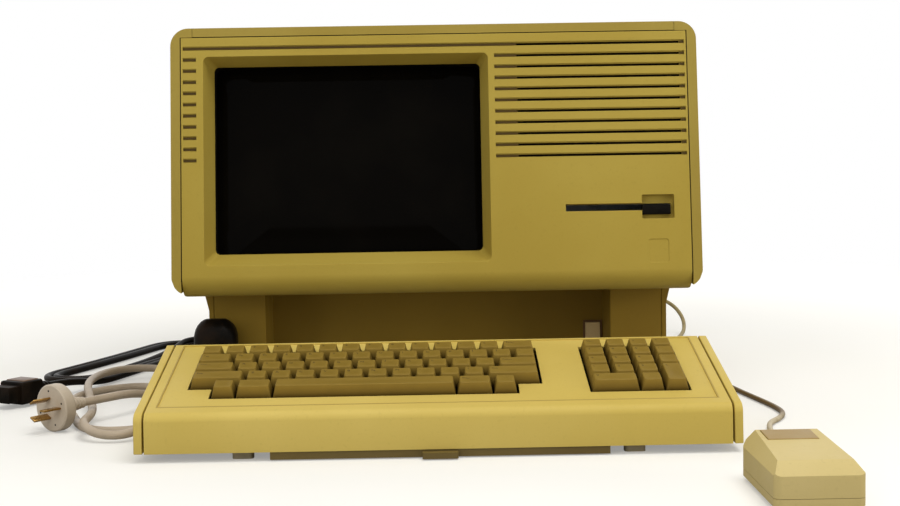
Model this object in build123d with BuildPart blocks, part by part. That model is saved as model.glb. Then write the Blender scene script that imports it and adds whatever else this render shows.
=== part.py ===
from build123d import *
import math
import os

os.makedirs("parts", exist_ok=True)

# The frame: millimetres, +Z up, the desk at Z = 0, the front towards -Y,
# and the origin under the middle of the main unit's footprint.

# Main unit
unit_width = 475.0
unit_depth = 386.0
unit_height = 350.0
head_bottom = 105.0          # underside of the overhanging head
face_tilt = 8.0              # the front face leans back, degrees
top_rise = 6.3454            # the top's rear edge over its front edge
cover_edge = 8.3             # front edge of the top cover, up the face
panel_edge = 8.5             # visible front edge of a side panel
panel_wrap = 19.5            # width of the top seen as part of the side panel
panel_wall = 3.0
panel_rim = 6.0
seam_gap = 0.4
panel_top_radius = 16.0
panel_foot_in = 5.3          # bevel along the bottom of a side panel
panel_foot_up = 13.9
panel_rear_radius = 8.0

# Front bezel
bezel_gap = 0.9
bezel_wall = 3.5
bezel_depth = 26.0
bezel_foot_radius = 17.0
screen_u = -79.8             # middle of the screen, across the face
screen_width = 243.4
screen_corner = 4.5
recess_side = 6.7            # each side of the recess slopes in by this much
recess_over = 5.1            # its top by this much
recess_under = 11.7          # and its bottom by this much
recess_above = 17.85         # bezel over the recess
recess_below = 25.9          # and under it
recess_corner = 5.0
recess_depth = 25.0
funnel_wall = 2.4
louvre_pitch = 10.16
louvre_drop = 10.3           # first groove under the bezel's top
louvre_count = 11
louvre_land = 1.5            # depth of the shallow groove
louvre_groove = 3.6
louvre_slot = 2.2
louvre_left_out = -226.4
louvre_left_in = -214.5
louvre_right_in = 54.3
louvre_right_out = 226.4
louvre_slot_in = 74.5
louvre_slot_out = 222.1
disk_slot_left = 116.0
disk_slot_right = 211.0
disk_slot_low = 69.5
disk_slot_high = 76.0
notch_left = 184.5
notch_right = 213.5
notch_low = 62.0
notch_high = 83.5
notch_depth = 6.5
notch_corner = 1.5
boss_depth = 10.0
boss_wall = 4.0
badge_u = 198.6
badge_v = 33.0
badge_width = 18.0
badge_height = 20.9
badge_depth = 0.5

# Head floor, chassis and rear cover
head_floor_thickness = 3.0
chassis_sheet = 1.5
chassis_beside = 15.5        # chassis inside the outer width, each side
chassis_drop = 22.0
chassis_set_back = 47.0
chassis_from_rear = 21.0
rail_width = 14.0
bay_gap = 2.8                # from the glass to the partition beside it
rear_cover_skirt = 18.0
rear_cover_wall = 3.0
rear_cover_drop = 9.0
rear_vents_drop = 56.0
thumbscrew_x = 190.0
thumbscrew_z = 130.0
vent_slot = 3.0

# Picture tube, its yoke and its circuit board
glass_radius = 900.0         # bulge of the screen
glass_depth = 27.0           # the screen's middle behind the face
glass_beside = 11.3          # glass behind the mask, each side
glass_over = 9.0
glass_corner = 20.0
glass_band = 32.0
funnel_middle = 95.0
funnel_end = 205.0
neck_radius = 14.5
neck_end = 292.0
yoke_length = 44.0
yoke_radius = 42.0
seat_gap = 0.3
board_thickness = 1.6

# Disk drive
drive_width = 102.0
drive_height = 41.0
drive_length = 150.0
drive_wall = 1.5
drive_u = 163.5
drive_v = 72.75
drive_start = 11.0
spindle_radius = 14.0
spindle_height = 4.0
head_travel = 20.0

# Base under the head
base_beside = 28.5           # base inside the outer width, each side
base_set_back = 60.0
wall_set_back = 64.0         # recessed wall behind the pillars' fronts
base_from_rear = 7.0
base_bottom = 7.0
base_wall = 3.0
pillar_width = 47.5
cheek_width = 5.0
cheek_gap = 0.3
cheek_flare = 4.0
cheek_flare_height = 17.0
foot_radius = 12.0
foot_x = 185.0
foot_front_y = -112.0
foot_rear_y = 165.0
button_x = 151.7
button_z = 51.0
button_width = 14.4
button_height = 17.0
button_frame = 2.2
button_out = 3.0

# Keyboard: a sloping case with its keys square to the slope
key_pitch = 19.05
key_slope = 12.86            # degrees
key_left = -197.1            # left edge of the main block
key_rear_y = -276.9          # rear edge of the first row
key_rear_z = 64.8
keyboard_x = -1.8
end_cap = 6.3
end_groove = 1.6
case_behind = 27.0           # slope behind the first row
case_ahead = 32.85           # slope before the last row
case_bottom = 7.0
case_wall = 3.0
case_front_lean = 2.0
case_front_radius = 8.0
case_rear_radius = 6.0
panel_step = 0.9             # the deck lies a little under the rim
deck_left_of_keys = 18.1
deck_right_of_keys = 17.77
deck_before_keys = 17.65
deck_rim = 16.0              # rim and end cap beside the deck
deck_rear = 18.0
well_gap = 1.2
key_gap = 0.8
key_rise = 7.6
key_sink = 3.0
key_top_share_in = 2.2       # each side of a cap draws in by this much
key_dish = 38.0
key_post = 5.0
post_gap = 0.3
switch_plate_depth = 9.5
switch_plate = 1.5
key_travel = 3.5
tray_left = -129.0
tray_right = 127.0
tray_bottom = 1.0
tray_length = 118.0
tray_tab = 27.0
card_thickness = 0.8
keyboard_foot_x = 149.0

# Mouse
mouse_left = 207.5
mouse_right = 266.0
mouse_front = -583.0
mouse_rear = -488.0
mouse_skid = 1.0
mouse_seam = 9.0
mouse_side_top = 23.5
mouse_front_top = 31.0
mouse_rear_top = 35.5
mouse_wall = 2.2
mouse_button_left = 218.0
mouse_button_right = 253.0
mouse_button_length = 25.0
mouse_button_travel = 1.0
ball_radius = 11.0
ball_y = -520.0
roller_radius = 3.0

# Cords
mouse_cord_diameter = 4.6
mains_diameter = 7.4
black_diameter = 7.0
sharpest_share = 0.45

sin_tilt = math.sin(math.radians(face_tilt))
cos_tilt = math.cos(math.radians(face_tilt))
sin_slope = math.sin(math.radians(key_slope))
cos_slope = math.cos(math.radians(key_slope))
front_y = -unit_depth / 2
rear_y = unit_depth / 2
bezel_height = (unit_height - top_rise - head_bottom) / cos_tilt - cover_edge
recess_height = bezel_height - recess_above - recess_below
recess_width = screen_width + 2 * recess_side
recess_v = recess_below + recess_height / 2
screen_height = recess_height - recess_over - recess_under
screen_v = recess_below + recess_under + screen_height / 2
glass_width = screen_width + 2 * glass_beside
glass_height = screen_height + 2 * glass_over
louvre_top = bezel_height - louvre_drop
chassis_half = unit_width / 2 - chassis_beside
chassis_top = unit_height - chassis_drop
chassis_front = front_y + chassis_set_back
chassis_rear = rear_y - chassis_from_rear
bay_wall_x = screen_u + glass_width / 2 + bay_gap
rear_cover_top = unit_height - rear_cover_drop
base_half = unit_width / 2 - base_beside
base_front = front_y + base_set_back
base_wall_y = base_front + wall_set_back
base_rear = rear_y - base_from_rear
pillar_inner = base_half - pillar_width
cheek_outer = base_half + cheek_width
block_right = key_left + 14.5 * key_pitch
pad_left = block_right + 2 * key_pitch
pad_right = pad_left + 4 * key_pitch
rows_depth = 5 * key_pitch
deck_left = key_left - deck_left_of_keys
deck_right = pad_right + deck_right_of_keys
deck_front = -rows_depth - deck_before_keys
keyboard_half = (deck_right - deck_left) / 2 + deck_rim
panel_inner = unit_width / 2 - panel_edge
seam_x = unit_width / 2 - panel_wrap
face_plane = Plane(origin=(0, front_y, head_bottom), x_dir=(1, 0, 0), z_dir=(0, -cos_tilt, sin_tilt))
key_plane = Plane(
    origin=(0, key_rear_y, key_rear_z), x_dir=(1, 0, 0), z_dir=(0, -sin_slope, cos_slope)
)
mouse_x = (mouse_left + mouse_right) / 2


def finish(piece, name):
    """Label a finished piece and write it."""
    piece.part.label = name
    export_step(piece.part, f"parts/{name}.step")


def on_face(run, depth=0.0):
    """Y and Z of a point this far up the leaning face and this deep behind it."""
    y = front_y + run * sin_tilt + depth * cos_tilt
    z = head_bottom + run * cos_tilt - depth * sin_tilt
    return (y, z)


def on_deck(run, rise=0.0):
    """Y and Z of a point this far up the keyboard's slope and this high above it."""
    y = key_rear_y + run * cos_slope - rise * sin_slope
    z = key_rear_z + run * sin_slope + rise * cos_slope
    return (y, z)


def face_point(across, run, depth):
    """A point given across the face, up the face and behind it."""
    y, z = on_face(run, depth)
    return (across, y, z)


# Side panels: hollow boards that wrap over the edges of the top
cover_run = bezel_height + cover_edge
head_outline = [
    (front_y, head_bottom),
    on_face(cover_run),
    (rear_y, unit_height),
    (rear_y, head_bottom),
]
top_lean = math.atan2(unit_height - on_face(cover_run)[1], rear_y - on_face(cover_run)[0])
beyond = 60.0


def under_top(drop):
    """The line this far under the sloping top, from before the face to behind the rear."""
    start = on_face(cover_run - drop)
    run = rear_y - start[0] + beyond
    first = (start[0] - beyond, start[1] - beyond * math.tan(top_lean))
    last = (start[0] + run, start[1] + run * math.tan(top_lean))
    return [first, last]


for side, name in ((1, "right_side_panel"), (-1, "left_side_panel")):
    with BuildPart() as side_panel:
        with BuildSketch(Plane.YZ.offset(seam_x)) as outline:
            with BuildLine():
                Polyline(*head_outline, close=True)
            make_face()
            fillet(outline.vertices().group_by(Axis.X)[-1], panel_rear_radius)
        extrude(amount=panel_wrap)
        fillet(side_panel.faces().sort_by(Axis.X)[-1].edges().sort_by(Axis.Z)[-1], panel_top_radius)
        with BuildSketch(Plane.XZ):
            with BuildLine():
                Polyline(
                    (unit_width / 2 - panel_foot_in, head_bottom),
                    (unit_width / 2, head_bottom + panel_foot_up),
                    (unit_width / 2 + 1, head_bottom + panel_foot_up),
                    (unit_width / 2 + 1, head_bottom - 1),
                    (unit_width / 2 - panel_foot_in, head_bottom - 1),
                    close=True,
                )
            make_face()
        extrude(amount=unit_depth, both=True, mode=Mode.SUBTRACT)
        with BuildSketch(Plane.YZ.offset(seam_x)):
            with BuildLine():
                below = under_top(cover_edge)
                Polyline(*below, (below[1][0], 0), (below[0][0], 0), close=True)
            make_face()
        extrude(amount=panel_inner - seam_x, mode=Mode.SUBTRACT)
        with BuildSketch(Plane.YZ.offset(panel_inner)):
            with BuildLine():
                Polyline(*head_outline, close=True)
            make_face()
            rim = max(panel_rim, panel_foot_up + panel_wall)
            offset(amount=-rim, kind=Kind.INTERSECTION, mode=Mode.REPLACE)
        extrude(amount=panel_edge - panel_wall, mode=Mode.SUBTRACT)
        if side < 0:
            mirror(about=Plane.YZ, mode=Mode.REPLACE)
    finish(side_panel, name)

# Top cover: a tray between the seams, with cooling slots at the back
with BuildPart() as top_cover:
    with BuildSketch(Plane.YZ.offset(seam_gap - seam_x)):
        with BuildLine():
            Polyline(
                on_face(cover_run),
                (rear_y, unit_height),
                (rear_y, unit_height - cover_edge + seam_gap),
                on_face(bezel_height + seam_gap),
                close=True,
            )
        make_face()
    extrude(amount=2 * (seam_x - seam_gap))
    with BuildSketch(Plane.YZ.offset(panel_rim - seam_x)):
        with BuildLine():
            roof = under_top(panel_wall)
            hollow_front = on_face(cover_run)[0] + 2 * panel_rim
            hollow_rear = rear_y - 2 * panel_rim
            roof_front = roof[0][1] + (hollow_front - roof[0][0]) * math.tan(top_lean)
            roof_rear = roof[0][1] + (hollow_rear - roof[0][0]) * math.tan(top_lean)
            Polyline(
                (hollow_front, roof_front),
                (hollow_rear, roof_rear),
                (hollow_rear, head_bottom),
                (hollow_front, head_bottom),
                close=True,
            )
        make_face()
    extrude(amount=2 * (seam_x - panel_rim), mode=Mode.SUBTRACT)
    with BuildSketch(Plane.XY.offset(unit_height + 1)):
        with Locations((0, rear_y - 75)):
            with GridLocations(98, 9, 4, 10):
                SlotOverall(84, vent_slot)
    extrude(amount=-2 * cover_edge, mode=Mode.SUBTRACT)
finish(top_cover, "top_cover")

# Front bezel: a shallow tray with the screen's funnel, louvres and disk slot
bezel_half = panel_inner - bezel_gap
bezel_top = bezel_height - seam_gap
with BuildPart(mode=Mode.PRIVATE) as bezel_hollow:
    with BuildSketch(face_plane.offset(-bezel_wall)):
        with Locations((0, bezel_top / 2)):
            Rectangle(2 * (bezel_half - bezel_wall), bezel_top - 2 * bezel_wall)
    extrude(amount=-bezel_depth)
    foot_edge = bezel_hollow.edges().filter_by(Axis.X).group_by(Axis.Y)[0].sort_by(Axis.Z)[0]
    fillet(foot_edge, bezel_foot_radius - bezel_wall)
with BuildPart() as front_bezel:
    with BuildSketch(face_plane):
        with Locations((0, bezel_top / 2)):
            Rectangle(2 * bezel_half, bezel_top)
    extrude(amount=-bezel_depth)
    fillet(front_bezel.edges().filter_by(Axis.X).group_by(Axis.Y)[0].sort_by(Axis.Z)[0], bezel_foot_radius)
    add(bezel_hollow.part, mode=Mode.SUBTRACT)
    with BuildSketch(face_plane.offset(-bezel_wall / 2)):
        with Locations((screen_u, recess_v)):
            RectangleRounded(recess_width + 2 * funnel_wall, recess_height + 2 * funnel_wall, recess_corner)
    with BuildSketch(face_plane.offset(-recess_depth)):
        with Locations((screen_u, screen_v)):
            RectangleRounded(screen_width + 2 * funnel_wall, screen_height + 2 * funnel_wall, screen_corner)
    loft()
    with BuildSketch(face_plane.offset(0.01)):
        with Locations((screen_u, recess_v)):
            RectangleRounded(recess_width, recess_height, recess_corner)
    with BuildSketch(face_plane.offset(-recess_depth - 0.01)):
        with Locations((screen_u, screen_v)):
            RectangleRounded(screen_width, screen_height, screen_corner)
    loft(mode=Mode.SUBTRACT)
    notch_u = (notch_left + notch_right) / 2
    notch_v = (notch_low + notch_high) / 2
    slot_u = (disk_slot_left + disk_slot_right) / 2
    slot_v = (disk_slot_low + disk_slot_high) / 2
    with BuildSketch(face_plane.offset(-bezel_wall / 2)):
        with Locations((slot_u, notch_v)):
            Rectangle(
                disk_slot_right - disk_slot_left + 2 * boss_wall + 6,
                notch_high - notch_low + 2 * boss_wall,
            )
    extrude(amount=-(boss_depth - bezel_wall / 2))
    with BuildSketch(face_plane):
        with Locations((notch_u, notch_v)):
            RectangleRounded(notch_right - notch_left, notch_high - notch_low, notch_corner)
    extrude(amount=-notch_depth, mode=Mode.SUBTRACT)
    with BuildSketch(face_plane):
        with Locations((slot_u, slot_v)):
            Rectangle(disk_slot_right - disk_slot_left, disk_slot_high - disk_slot_low)
    extrude(amount=-2 * boss_depth, mode=Mode.SUBTRACT)
    with BuildSketch(face_plane):
        with Locations((badge_u, badge_v)):
            RectangleRounded(badge_width, badge_height, 2)
    extrude(amount=-badge_depth, mode=Mode.SUBTRACT)
    with BuildSketch(face_plane):
        with Locations((0, louvre_top)):
            Rectangle(louvre_right_out - louvre_left_out, louvre_groove)
        for row in range(1, louvre_count):
            run = louvre_top - row * louvre_pitch
            with Locations(((louvre_left_out + louvre_left_in) / 2, run)):
                Rectangle(louvre_left_in - louvre_left_out, louvre_groove)
            with Locations(((louvre_right_in + louvre_right_out) / 2, run)):
                Rectangle(louvre_right_out - louvre_right_in, louvre_groove)
    extrude(amount=-louvre_land, mode=Mode.SUBTRACT)
    with BuildSketch(face_plane):
        for row in range(louvre_count):
            run = louvre_top - row * louvre_pitch
            with Locations(((louvre_slot_in + louvre_slot_out) / 2, run)):
                Rectangle(louvre_slot_out - louvre_slot_in, louvre_slot)
    extrude(amount=-2 * bezel_wall, mode=Mode.SUBTRACT)
finish(front_bezel, "front_bezel")

# Head floor: closes the underside of the head between the side panels
floor_front = on_face(0, bezel_depth + 3 * seam_gap)[0]
floor_top = on_face(0, bezel_depth)[1] + head_floor_thickness
floor_bottom = floor_top - head_floor_thickness
with BuildPart() as head_floor:
    with BuildSketch(Plane.XY.offset(floor_bottom)):
        with Locations((0, (floor_front + rear_y) / 2)):
            Rectangle(2 * (panel_inner - seam_gap), rear_y - floor_front)
    extrude(amount=head_floor_thickness)
    with BuildSketch(Plane.XY.offset(floor_bottom)):
        with Locations((0, 60)):
            with GridLocations(90, 12, 4, 12):
                SlotOverall(70, 2 * vent_slot)
    extrude(amount=head_floor_thickness, mode=Mode.SUBTRACT)
finish(head_floor, "head_floor")

# Chassis: folded sheet uprights, a partition beside the tube, and cross rails
with BuildPart() as chassis_frame:
    for wall_x in (-chassis_half, bay_wall_x, chassis_half - chassis_sheet):
        with BuildSketch(Plane.YZ.offset(wall_x)) as upright:
            with BuildLine():
                Polyline(
                    (chassis_front, floor_top),
                    (chassis_front + (chassis_top - floor_top) * sin_tilt / cos_tilt, chassis_top),
                    (chassis_rear, chassis_top),
                    (chassis_rear, floor_top),
                    close=True,
                )
            make_face()
            with Locations((10, 270)):
                with GridLocations(34, 26, 6, 3):
                    Circle(8, mode=Mode.SUBTRACT)
        extrude(amount=chassis_sheet)
    rail_span = 2 * chassis_half
    for rail_y in (chassis_front + 60, 20.0, chassis_rear - rail_width / 2):
        with BuildSketch(Plane.XY.offset(chassis_top)):
            with Locations((0, rail_y)):
                Rectangle(rail_span, rail_width)
        extrude(amount=chassis_sheet)
finish(chassis_frame, "chassis_frame")

# Rear cover: a slotted tray between the side panels
rear_skin_y = rear_y - seam_gap
cover_low = floor_top + seam_gap
with BuildPart() as rear_cover:
    with BuildSketch(Plane.XZ.offset(-rear_skin_y)):
        with Locations((0, (cover_low + rear_cover_top) / 2)):
            Rectangle(2 * (panel_inner - seam_gap), rear_cover_top - cover_low)
    extrude(amount=rear_cover_skirt)
    with BuildSketch(Plane.XZ.offset(-(rear_skin_y - rear_cover_wall))):
        with Locations((0, (cover_low + rear_cover_top) / 2)):
            Rectangle(
                2 * (panel_inner - seam_gap - rear_cover_wall),
                rear_cover_top - cover_low - 2 * rear_cover_wall,
            )
    extrude(amount=rear_cover_skirt, mode=Mode.SUBTRACT)
    with BuildSketch(Plane.XZ.offset(-rear_skin_y)):
        with Locations((0, rear_cover_top - rear_vents_drop)):
            with GridLocations(98, 9, 4, 8):
                SlotOverall(84, vent_slot)
    extrude(amount=2 * rear_cover_wall, mode=Mode.SUBTRACT)
    with BuildSketch(Plane.XZ.offset(-rear_skin_y)):
        with Locations((-thumbscrew_x, thumbscrew_z), (thumbscrew_x, thumbscrew_z)):
            Circle(3 + seat_gap)
    extrude(amount=2 * rear_cover_wall, mode=Mode.SUBTRACT)
finish(rear_cover, "rear_cover")

# Thumbscrews at the foot of the rear cover
for side, name in ((-1, "thumbscrew_left"), (1, "thumbscrew_right")):
    with BuildPart() as thumbscrew:
        with BuildSketch(Plane.XZ.offset(-(rear_skin_y + seat_gap))):
            with Locations((thumbscrew_x * side, thumbscrew_z)):
                Circle(9)
                with PolarLocations(9, 18):
                    Circle(0.8, mode=Mode.SUBTRACT)
        extrude(amount=-9)
        with BuildSketch(Plane.XZ.offset(-(rear_skin_y + seat_gap))):
            with Locations((thumbscrew_x * side, thumbscrew_z)):
                Circle(3)
        extrude(amount=14)
    finish(thumbscrew, name)

# Picture tube, on an axis square to the face
tube_plane = Plane(
    origin=face_point(screen_u, screen_v, 0), x_dir=(1, 0, 0), z_dir=face_plane.z_dir
)
with BuildPart() as picture_tube:
    with BuildSketch(tube_plane.offset(-glass_depth)):
        RectangleRounded(glass_width, glass_height, glass_corner)
    extrude(amount=-glass_band)
    with Locations(tube_plane.offset(-glass_depth - glass_radius)):
        Sphere(glass_radius, mode=Mode.INTERSECT)
    with BuildSketch(tube_plane.offset(-glass_depth - glass_band + 0.5)):
        RectangleRounded(glass_width - 6, glass_height - 6, glass_corner)
    with BuildSketch(tube_plane.offset(-funnel_middle)):
        RectangleRounded(glass_width * 0.66, glass_height * 0.7, 40)
    with BuildSketch(tube_plane.offset(-funnel_end)):
        RectangleRounded(45, 44.9, 22.4)
    loft(ruled=True)
    with BuildSketch(tube_plane.offset(-funnel_end + 1)):
        Circle(neck_radius)
    extrude(amount=-(neck_end - funnel_end))
finish(picture_tube, "picture_tube")

# Black mask between the bezel's funnel and the glass
with BuildPart() as screen_mask:
    with BuildSketch(tube_plane.offset(-recess_depth - seat_gap)):
        RectangleRounded(glass_width + 6, glass_height + 6, glass_corner)
        RectangleRounded(screen_width, screen_height, screen_corner, mode=Mode.SUBTRACT)
    extrude(amount=-17)
    with Locations(tube_plane.offset(-glass_depth - glass_radius)):
        Sphere(glass_radius + seat_gap, mode=Mode.SUBTRACT)
finish(screen_mask, "screen_mask")

# Deflection yoke round the neck
with BuildPart() as deflection_yoke:
    with BuildSketch(tube_plane.offset(-funnel_end - seat_gap)):
        Circle(yoke_radius)
        Circle(neck_radius + seat_gap, mode=Mode.SUBTRACT)
    extrude(amount=-6)
    with BuildSketch(tube_plane.offset(-funnel_end - 6)):
        Circle(yoke_radius - 9)
        Circle(neck_radius + seat_gap, mode=Mode.SUBTRACT)
    extrude(amount=-(yoke_length - 6))
finish(deflection_yoke, "deflection_yoke")

# Video board on the partition, with its transformer, heat sink and capacitors
board_x = bay_wall_x - 8.0
with BuildPart() as video_board:
    with BuildSketch(Plane.YZ.offset(board_x)):
        with Locations((70, 215)):
            Rectangle(190, 170)
    extrude(amount=-board_thickness)
    with BuildSketch(Plane.YZ.offset(board_x)):
        with Locations((70, 215)):
            with GridLocations(170, 150, 2, 2):
                Circle(3)
    extrude(amount=bay_wall_x - board_x)
    with BuildSketch(Plane.YZ.offset(board_x - board_thickness)):
        with Locations((120, 180)):
            RectangleRounded(44, 38, 4)
    extrude(amount=-40)
    with BuildSketch(Plane.YZ.offset(board_x - board_thickness)):
        with Locations((60, 150)):
            Rectangle(50, 4)
        with Locations((60, 160)):
            Rectangle(4, 24)
    extrude(amount=-26)
    with BuildSketch(Plane.YZ.offset(board_x - board_thickness)):
        with Locations((10, 200)):
            with GridLocations(24, 30, 2, 3):
                Circle(7)
    extrude(amount=-28)
finish(video_board, "video_board")

# Disk drive: a folded box behind the slot, on a bracket from the head floor
drive_plane = face_plane.offset(-drive_start)
drive_low = drive_v - drive_height / 2
with BuildPart() as disk_drive:
    with BuildSketch(drive_plane):
        with Locations((drive_u, drive_v)):
            Rectangle(drive_width, drive_height)
    extrude(amount=-drive_length)
    with BuildSketch(drive_plane.offset(-drive_wall)):
        with Locations((drive_u, drive_v)):
            Rectangle(drive_width - 2 * drive_wall, drive_height - 2 * drive_wall)
    extrude(amount=-drive_length, mode=Mode.SUBTRACT)
    with BuildSketch(drive_plane):
        with Locations((slot_u, slot_v)):
            Rectangle(disk_slot_right - disk_slot_left, disk_slot_high - disk_slot_low)
    extrude(amount=-drive_wall, mode=Mode.SUBTRACT)
    with BuildSketch(drive_plane.offset(-drive_wall)):
        for rail_u in (-30, 30):
            with Locations((drive_u + rail_u, slot_v - 11)):
                Rectangle(5, 5)
    extrude(amount=-(drive_length - drive_wall))
    with BuildSketch(drive_plane.offset(-drive_length + 4)):
        with Locations((drive_u, drive_v)):
            Rectangle(drive_width - drive_wall, drive_height - drive_wall)
    extrude(amount=-2)
finish(disk_drive, "disk_drive")

spindle_plane = Plane(
    origin=face_point(drive_u, drive_low + drive_wall + seat_gap, drive_start + 55),
    x_dir=(1, 0, 0),
    z_dir=(0, sin_tilt, cos_tilt),
)
with BuildPart() as drive_spindle:
    with BuildSketch(spindle_plane):
        Circle(spindle_radius)
    extrude(amount=spindle_height)
    with BuildSketch(spindle_plane.offset(spindle_height)):
        Circle(4)
        with Locations((8, 0)):
            Circle(1.2)
    extrude(amount=2)
finish(drive_spindle, "drive_spindle")

with BuildPart() as head_carriage:
    with BuildSketch(drive_plane.offset(-100)):
        with Locations((drive_u, slot_v - 8.5 + 2.8)):
            Rectangle(76, 5)
        with Locations((drive_u, slot_v - 1)):
            Rectangle(14, 9)
    extrude(amount=-22)
finish(head_carriage, "head_carriage")

with BuildPart() as drive_bracket:
    tray_run = drive_low - seat_gap
    for plate_u in (drive_u - drive_width / 2 + 2, drive_u + drive_width / 2 - 4):
        with BuildSketch(Plane.YZ.offset(plate_u)):
            with BuildLine():
                Polyline(
                    on_face(tray_run, drive_start + 18),
                    on_face(tray_run, drive_start + drive_length),
                    (on_face(tray_run, drive_start + drive_length)[0], floor_top),
                    (on_face(tray_run, drive_start + 18)[0], floor_top),
                    close=True,
                )
            make_face()
        extrude(amount=2)
    with BuildSketch(Plane.YZ.offset(drive_u - drive_width / 2 + 2)):
        with BuildLine():
            Polyline(
                on_face(tray_run, drive_start + 18),
                on_face(tray_run, drive_start + drive_length),
                on_face(tray_run - 2, drive_start + drive_length),
                on_face(tray_run - 2, drive_start + 18),
                close=True,
            )
        make_face()
    extrude(amount=drive_width - 4)
finish(drive_bracket, "drive_bracket")

# Base housing: pillars at the sides and a recessed wall between them
base_top = floor_bottom
base_outline = [
    (-base_half, base_front),
    (-pillar_inner, base_front),
    (-pillar_inner, base_wall_y),
    (pillar_inner, base_wall_y),
    (pillar_inner, base_front),
    (base_half, base_front),
    (base_half, base_rear),
    (-base_half, base_rear),
]
with BuildPart() as base_housing:
    with BuildSketch(Plane.XY.offset(base_bottom)):
        with BuildLine():
            Polyline(*base_outline, close=True)
        make_face()
    extrude(amount=base_top - base_bottom)
    with BuildSketch(Plane.XY.offset(base_bottom + base_wall)):
        with BuildLine():
            Polyline(*base_outline, close=True)
        make_face()
        offset(amount=-base_wall, kind=Kind.INTERSECTION, mode=Mode.REPLACE)
    extrude(amount=base_top, mode=Mode.SUBTRACT)
    with BuildSketch(Plane.XY.offset(base_bottom)):
        with Locations((0, 60)):
            with GridLocations(90, 14, 4, 12):
                SlotOverall(70, 2 * vent_slot)
    extrude(amount=base_wall, mode=Mode.SUBTRACT)
    with BuildSketch(Plane.XZ.offset(-base_wall_y)):
        with Locations((button_x, button_z)):
            Rectangle(button_width + 2 * seat_gap, button_height + 2 * seat_gap)
    extrude(amount=-base_wall, mode=Mode.SUBTRACT)
    with BuildSketch(Plane.XZ.offset(-base_rear)):
        with Locations((0, 52)):
            Rectangle(390, 78)
    extrude(amount=base_wall, mode=Mode.SUBTRACT)
finish(base_housing, "base_housing")

with BuildPart() as base_side_panels:
    with BuildSketch(Plane.XZ.offset(-base_front)):
        with BuildLine():
            Polyline(
                (base_half + cheek_gap, base_bottom),
                (cheek_outer, base_bottom),
                (cheek_outer, base_top - cheek_flare_height),
                (cheek_outer + cheek_flare, base_top),
                (base_half + cheek_gap, base_top),
                close=True,
            )
        make_face()
    extrude(amount=-(base_rear - base_front))
    mirror(about=Plane.YZ)
finish(base_side_panels, "base_side_panels")

with BuildPart() as unit_feet:
    for foot_y in (foot_front_y, foot_rear_y):
        with BuildSketch():
            with Locations((-foot_x, foot_y), (foot_x, foot_y)):
                Circle(foot_radius)
        extrude(amount=base_bottom)
finish(unit_feet, "unit_feet")

# Power button in its dark frame on the recessed wall
with BuildPart() as power_button_frame:
    with BuildSketch(Plane.XZ.offset(-base_wall_y + seat_gap)):
        with Locations((button_x, button_z)):
            Rectangle(button_width + 2 * button_frame, button_height + 2 * button_frame)
            Rectangle(button_width + 2 * seat_gap, button_height + 2 * seat_gap, mode=Mode.SUBTRACT)
    extrude(amount=1.4)
finish(power_button_frame, "power_button_frame")
with BuildPart() as power_button:
    with BuildSketch(Plane.XZ.offset(-base_wall_y + button_out)):
        with Locations((button_x, button_z)):
            RectangleRounded(button_width, button_height, 1)
    extrude(amount=-8)
finish(power_button, "power_button")

# Power supply, on the base floor at the right
supply_low = base_bottom + base_wall
with BuildPart() as power_supply:
    with BuildSketch(Plane.XY.offset(supply_low)):
        with Locations((150, 55)):
            Rectangle(108, 210)
    extrude(amount=78)
    with BuildSketch(Plane.XY.offset(supply_low + 1.5)):
        with Locations((150, 55)):
            Rectangle(105, 207)
    extrude(amount=75, mode=Mode.SUBTRACT)
    with BuildSketch(Plane.XY.offset(supply_low + 78)):
        with Locations((150, 55)):
            with GridLocations(40, 9, 2, 18):
                SlotOverall(34, vent_slot)
    extrude(amount=-4, mode=Mode.SUBTRACT)
finish(power_supply, "power_supply")

# Main board on the base floor with four plug-in boards across it
plug_in_x = (-150.0, -100.0, -50.0, -20.0)
plug_in_slot = 6.0
plug_in_height = 70.0
board_low = supply_low + 5
plug_in_low = board_low + board_thickness + plug_in_slot + seat_gap
with BuildPart() as main_board:
    with BuildSketch(Plane.XY.offset(board_low)):
        with Locations((-60, 60)):
            Rectangle(270, 200)
    extrude(amount=board_thickness)
    with BuildSketch(Plane.XY.offset(supply_low)):
        with Locations((-60, 60)):
            with GridLocations(250, 180, 2, 2):
                Circle(3)
    extrude(amount=board_low - supply_low)
    with BuildSketch(Plane.XY.offset(board_low + board_thickness)):
        for slot_x in plug_in_x:
            with Locations((slot_x, 60)):
                Rectangle(9, 150)
    extrude(amount=plug_in_slot)
finish(main_board, "main_board")

with BuildPart() as plug_in_boards:
    for slot_x in plug_in_x:
        with BuildSketch(Plane.YZ.offset(slot_x)):
            with Locations((60, plug_in_low + plug_in_height / 2)):
                Rectangle(190, plug_in_height)
        extrude(amount=board_thickness)
        with BuildSketch(Plane.YZ.offset(slot_x + board_thickness)):
            with Locations((60, plug_in_low + plug_in_height / 2 + 3)):
                with GridLocations(28, 14, 6, 4):
                    Rectangle(19, 7)
        extrude(amount=3.2)
finish(plug_in_boards, "plug_in_boards")

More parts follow.
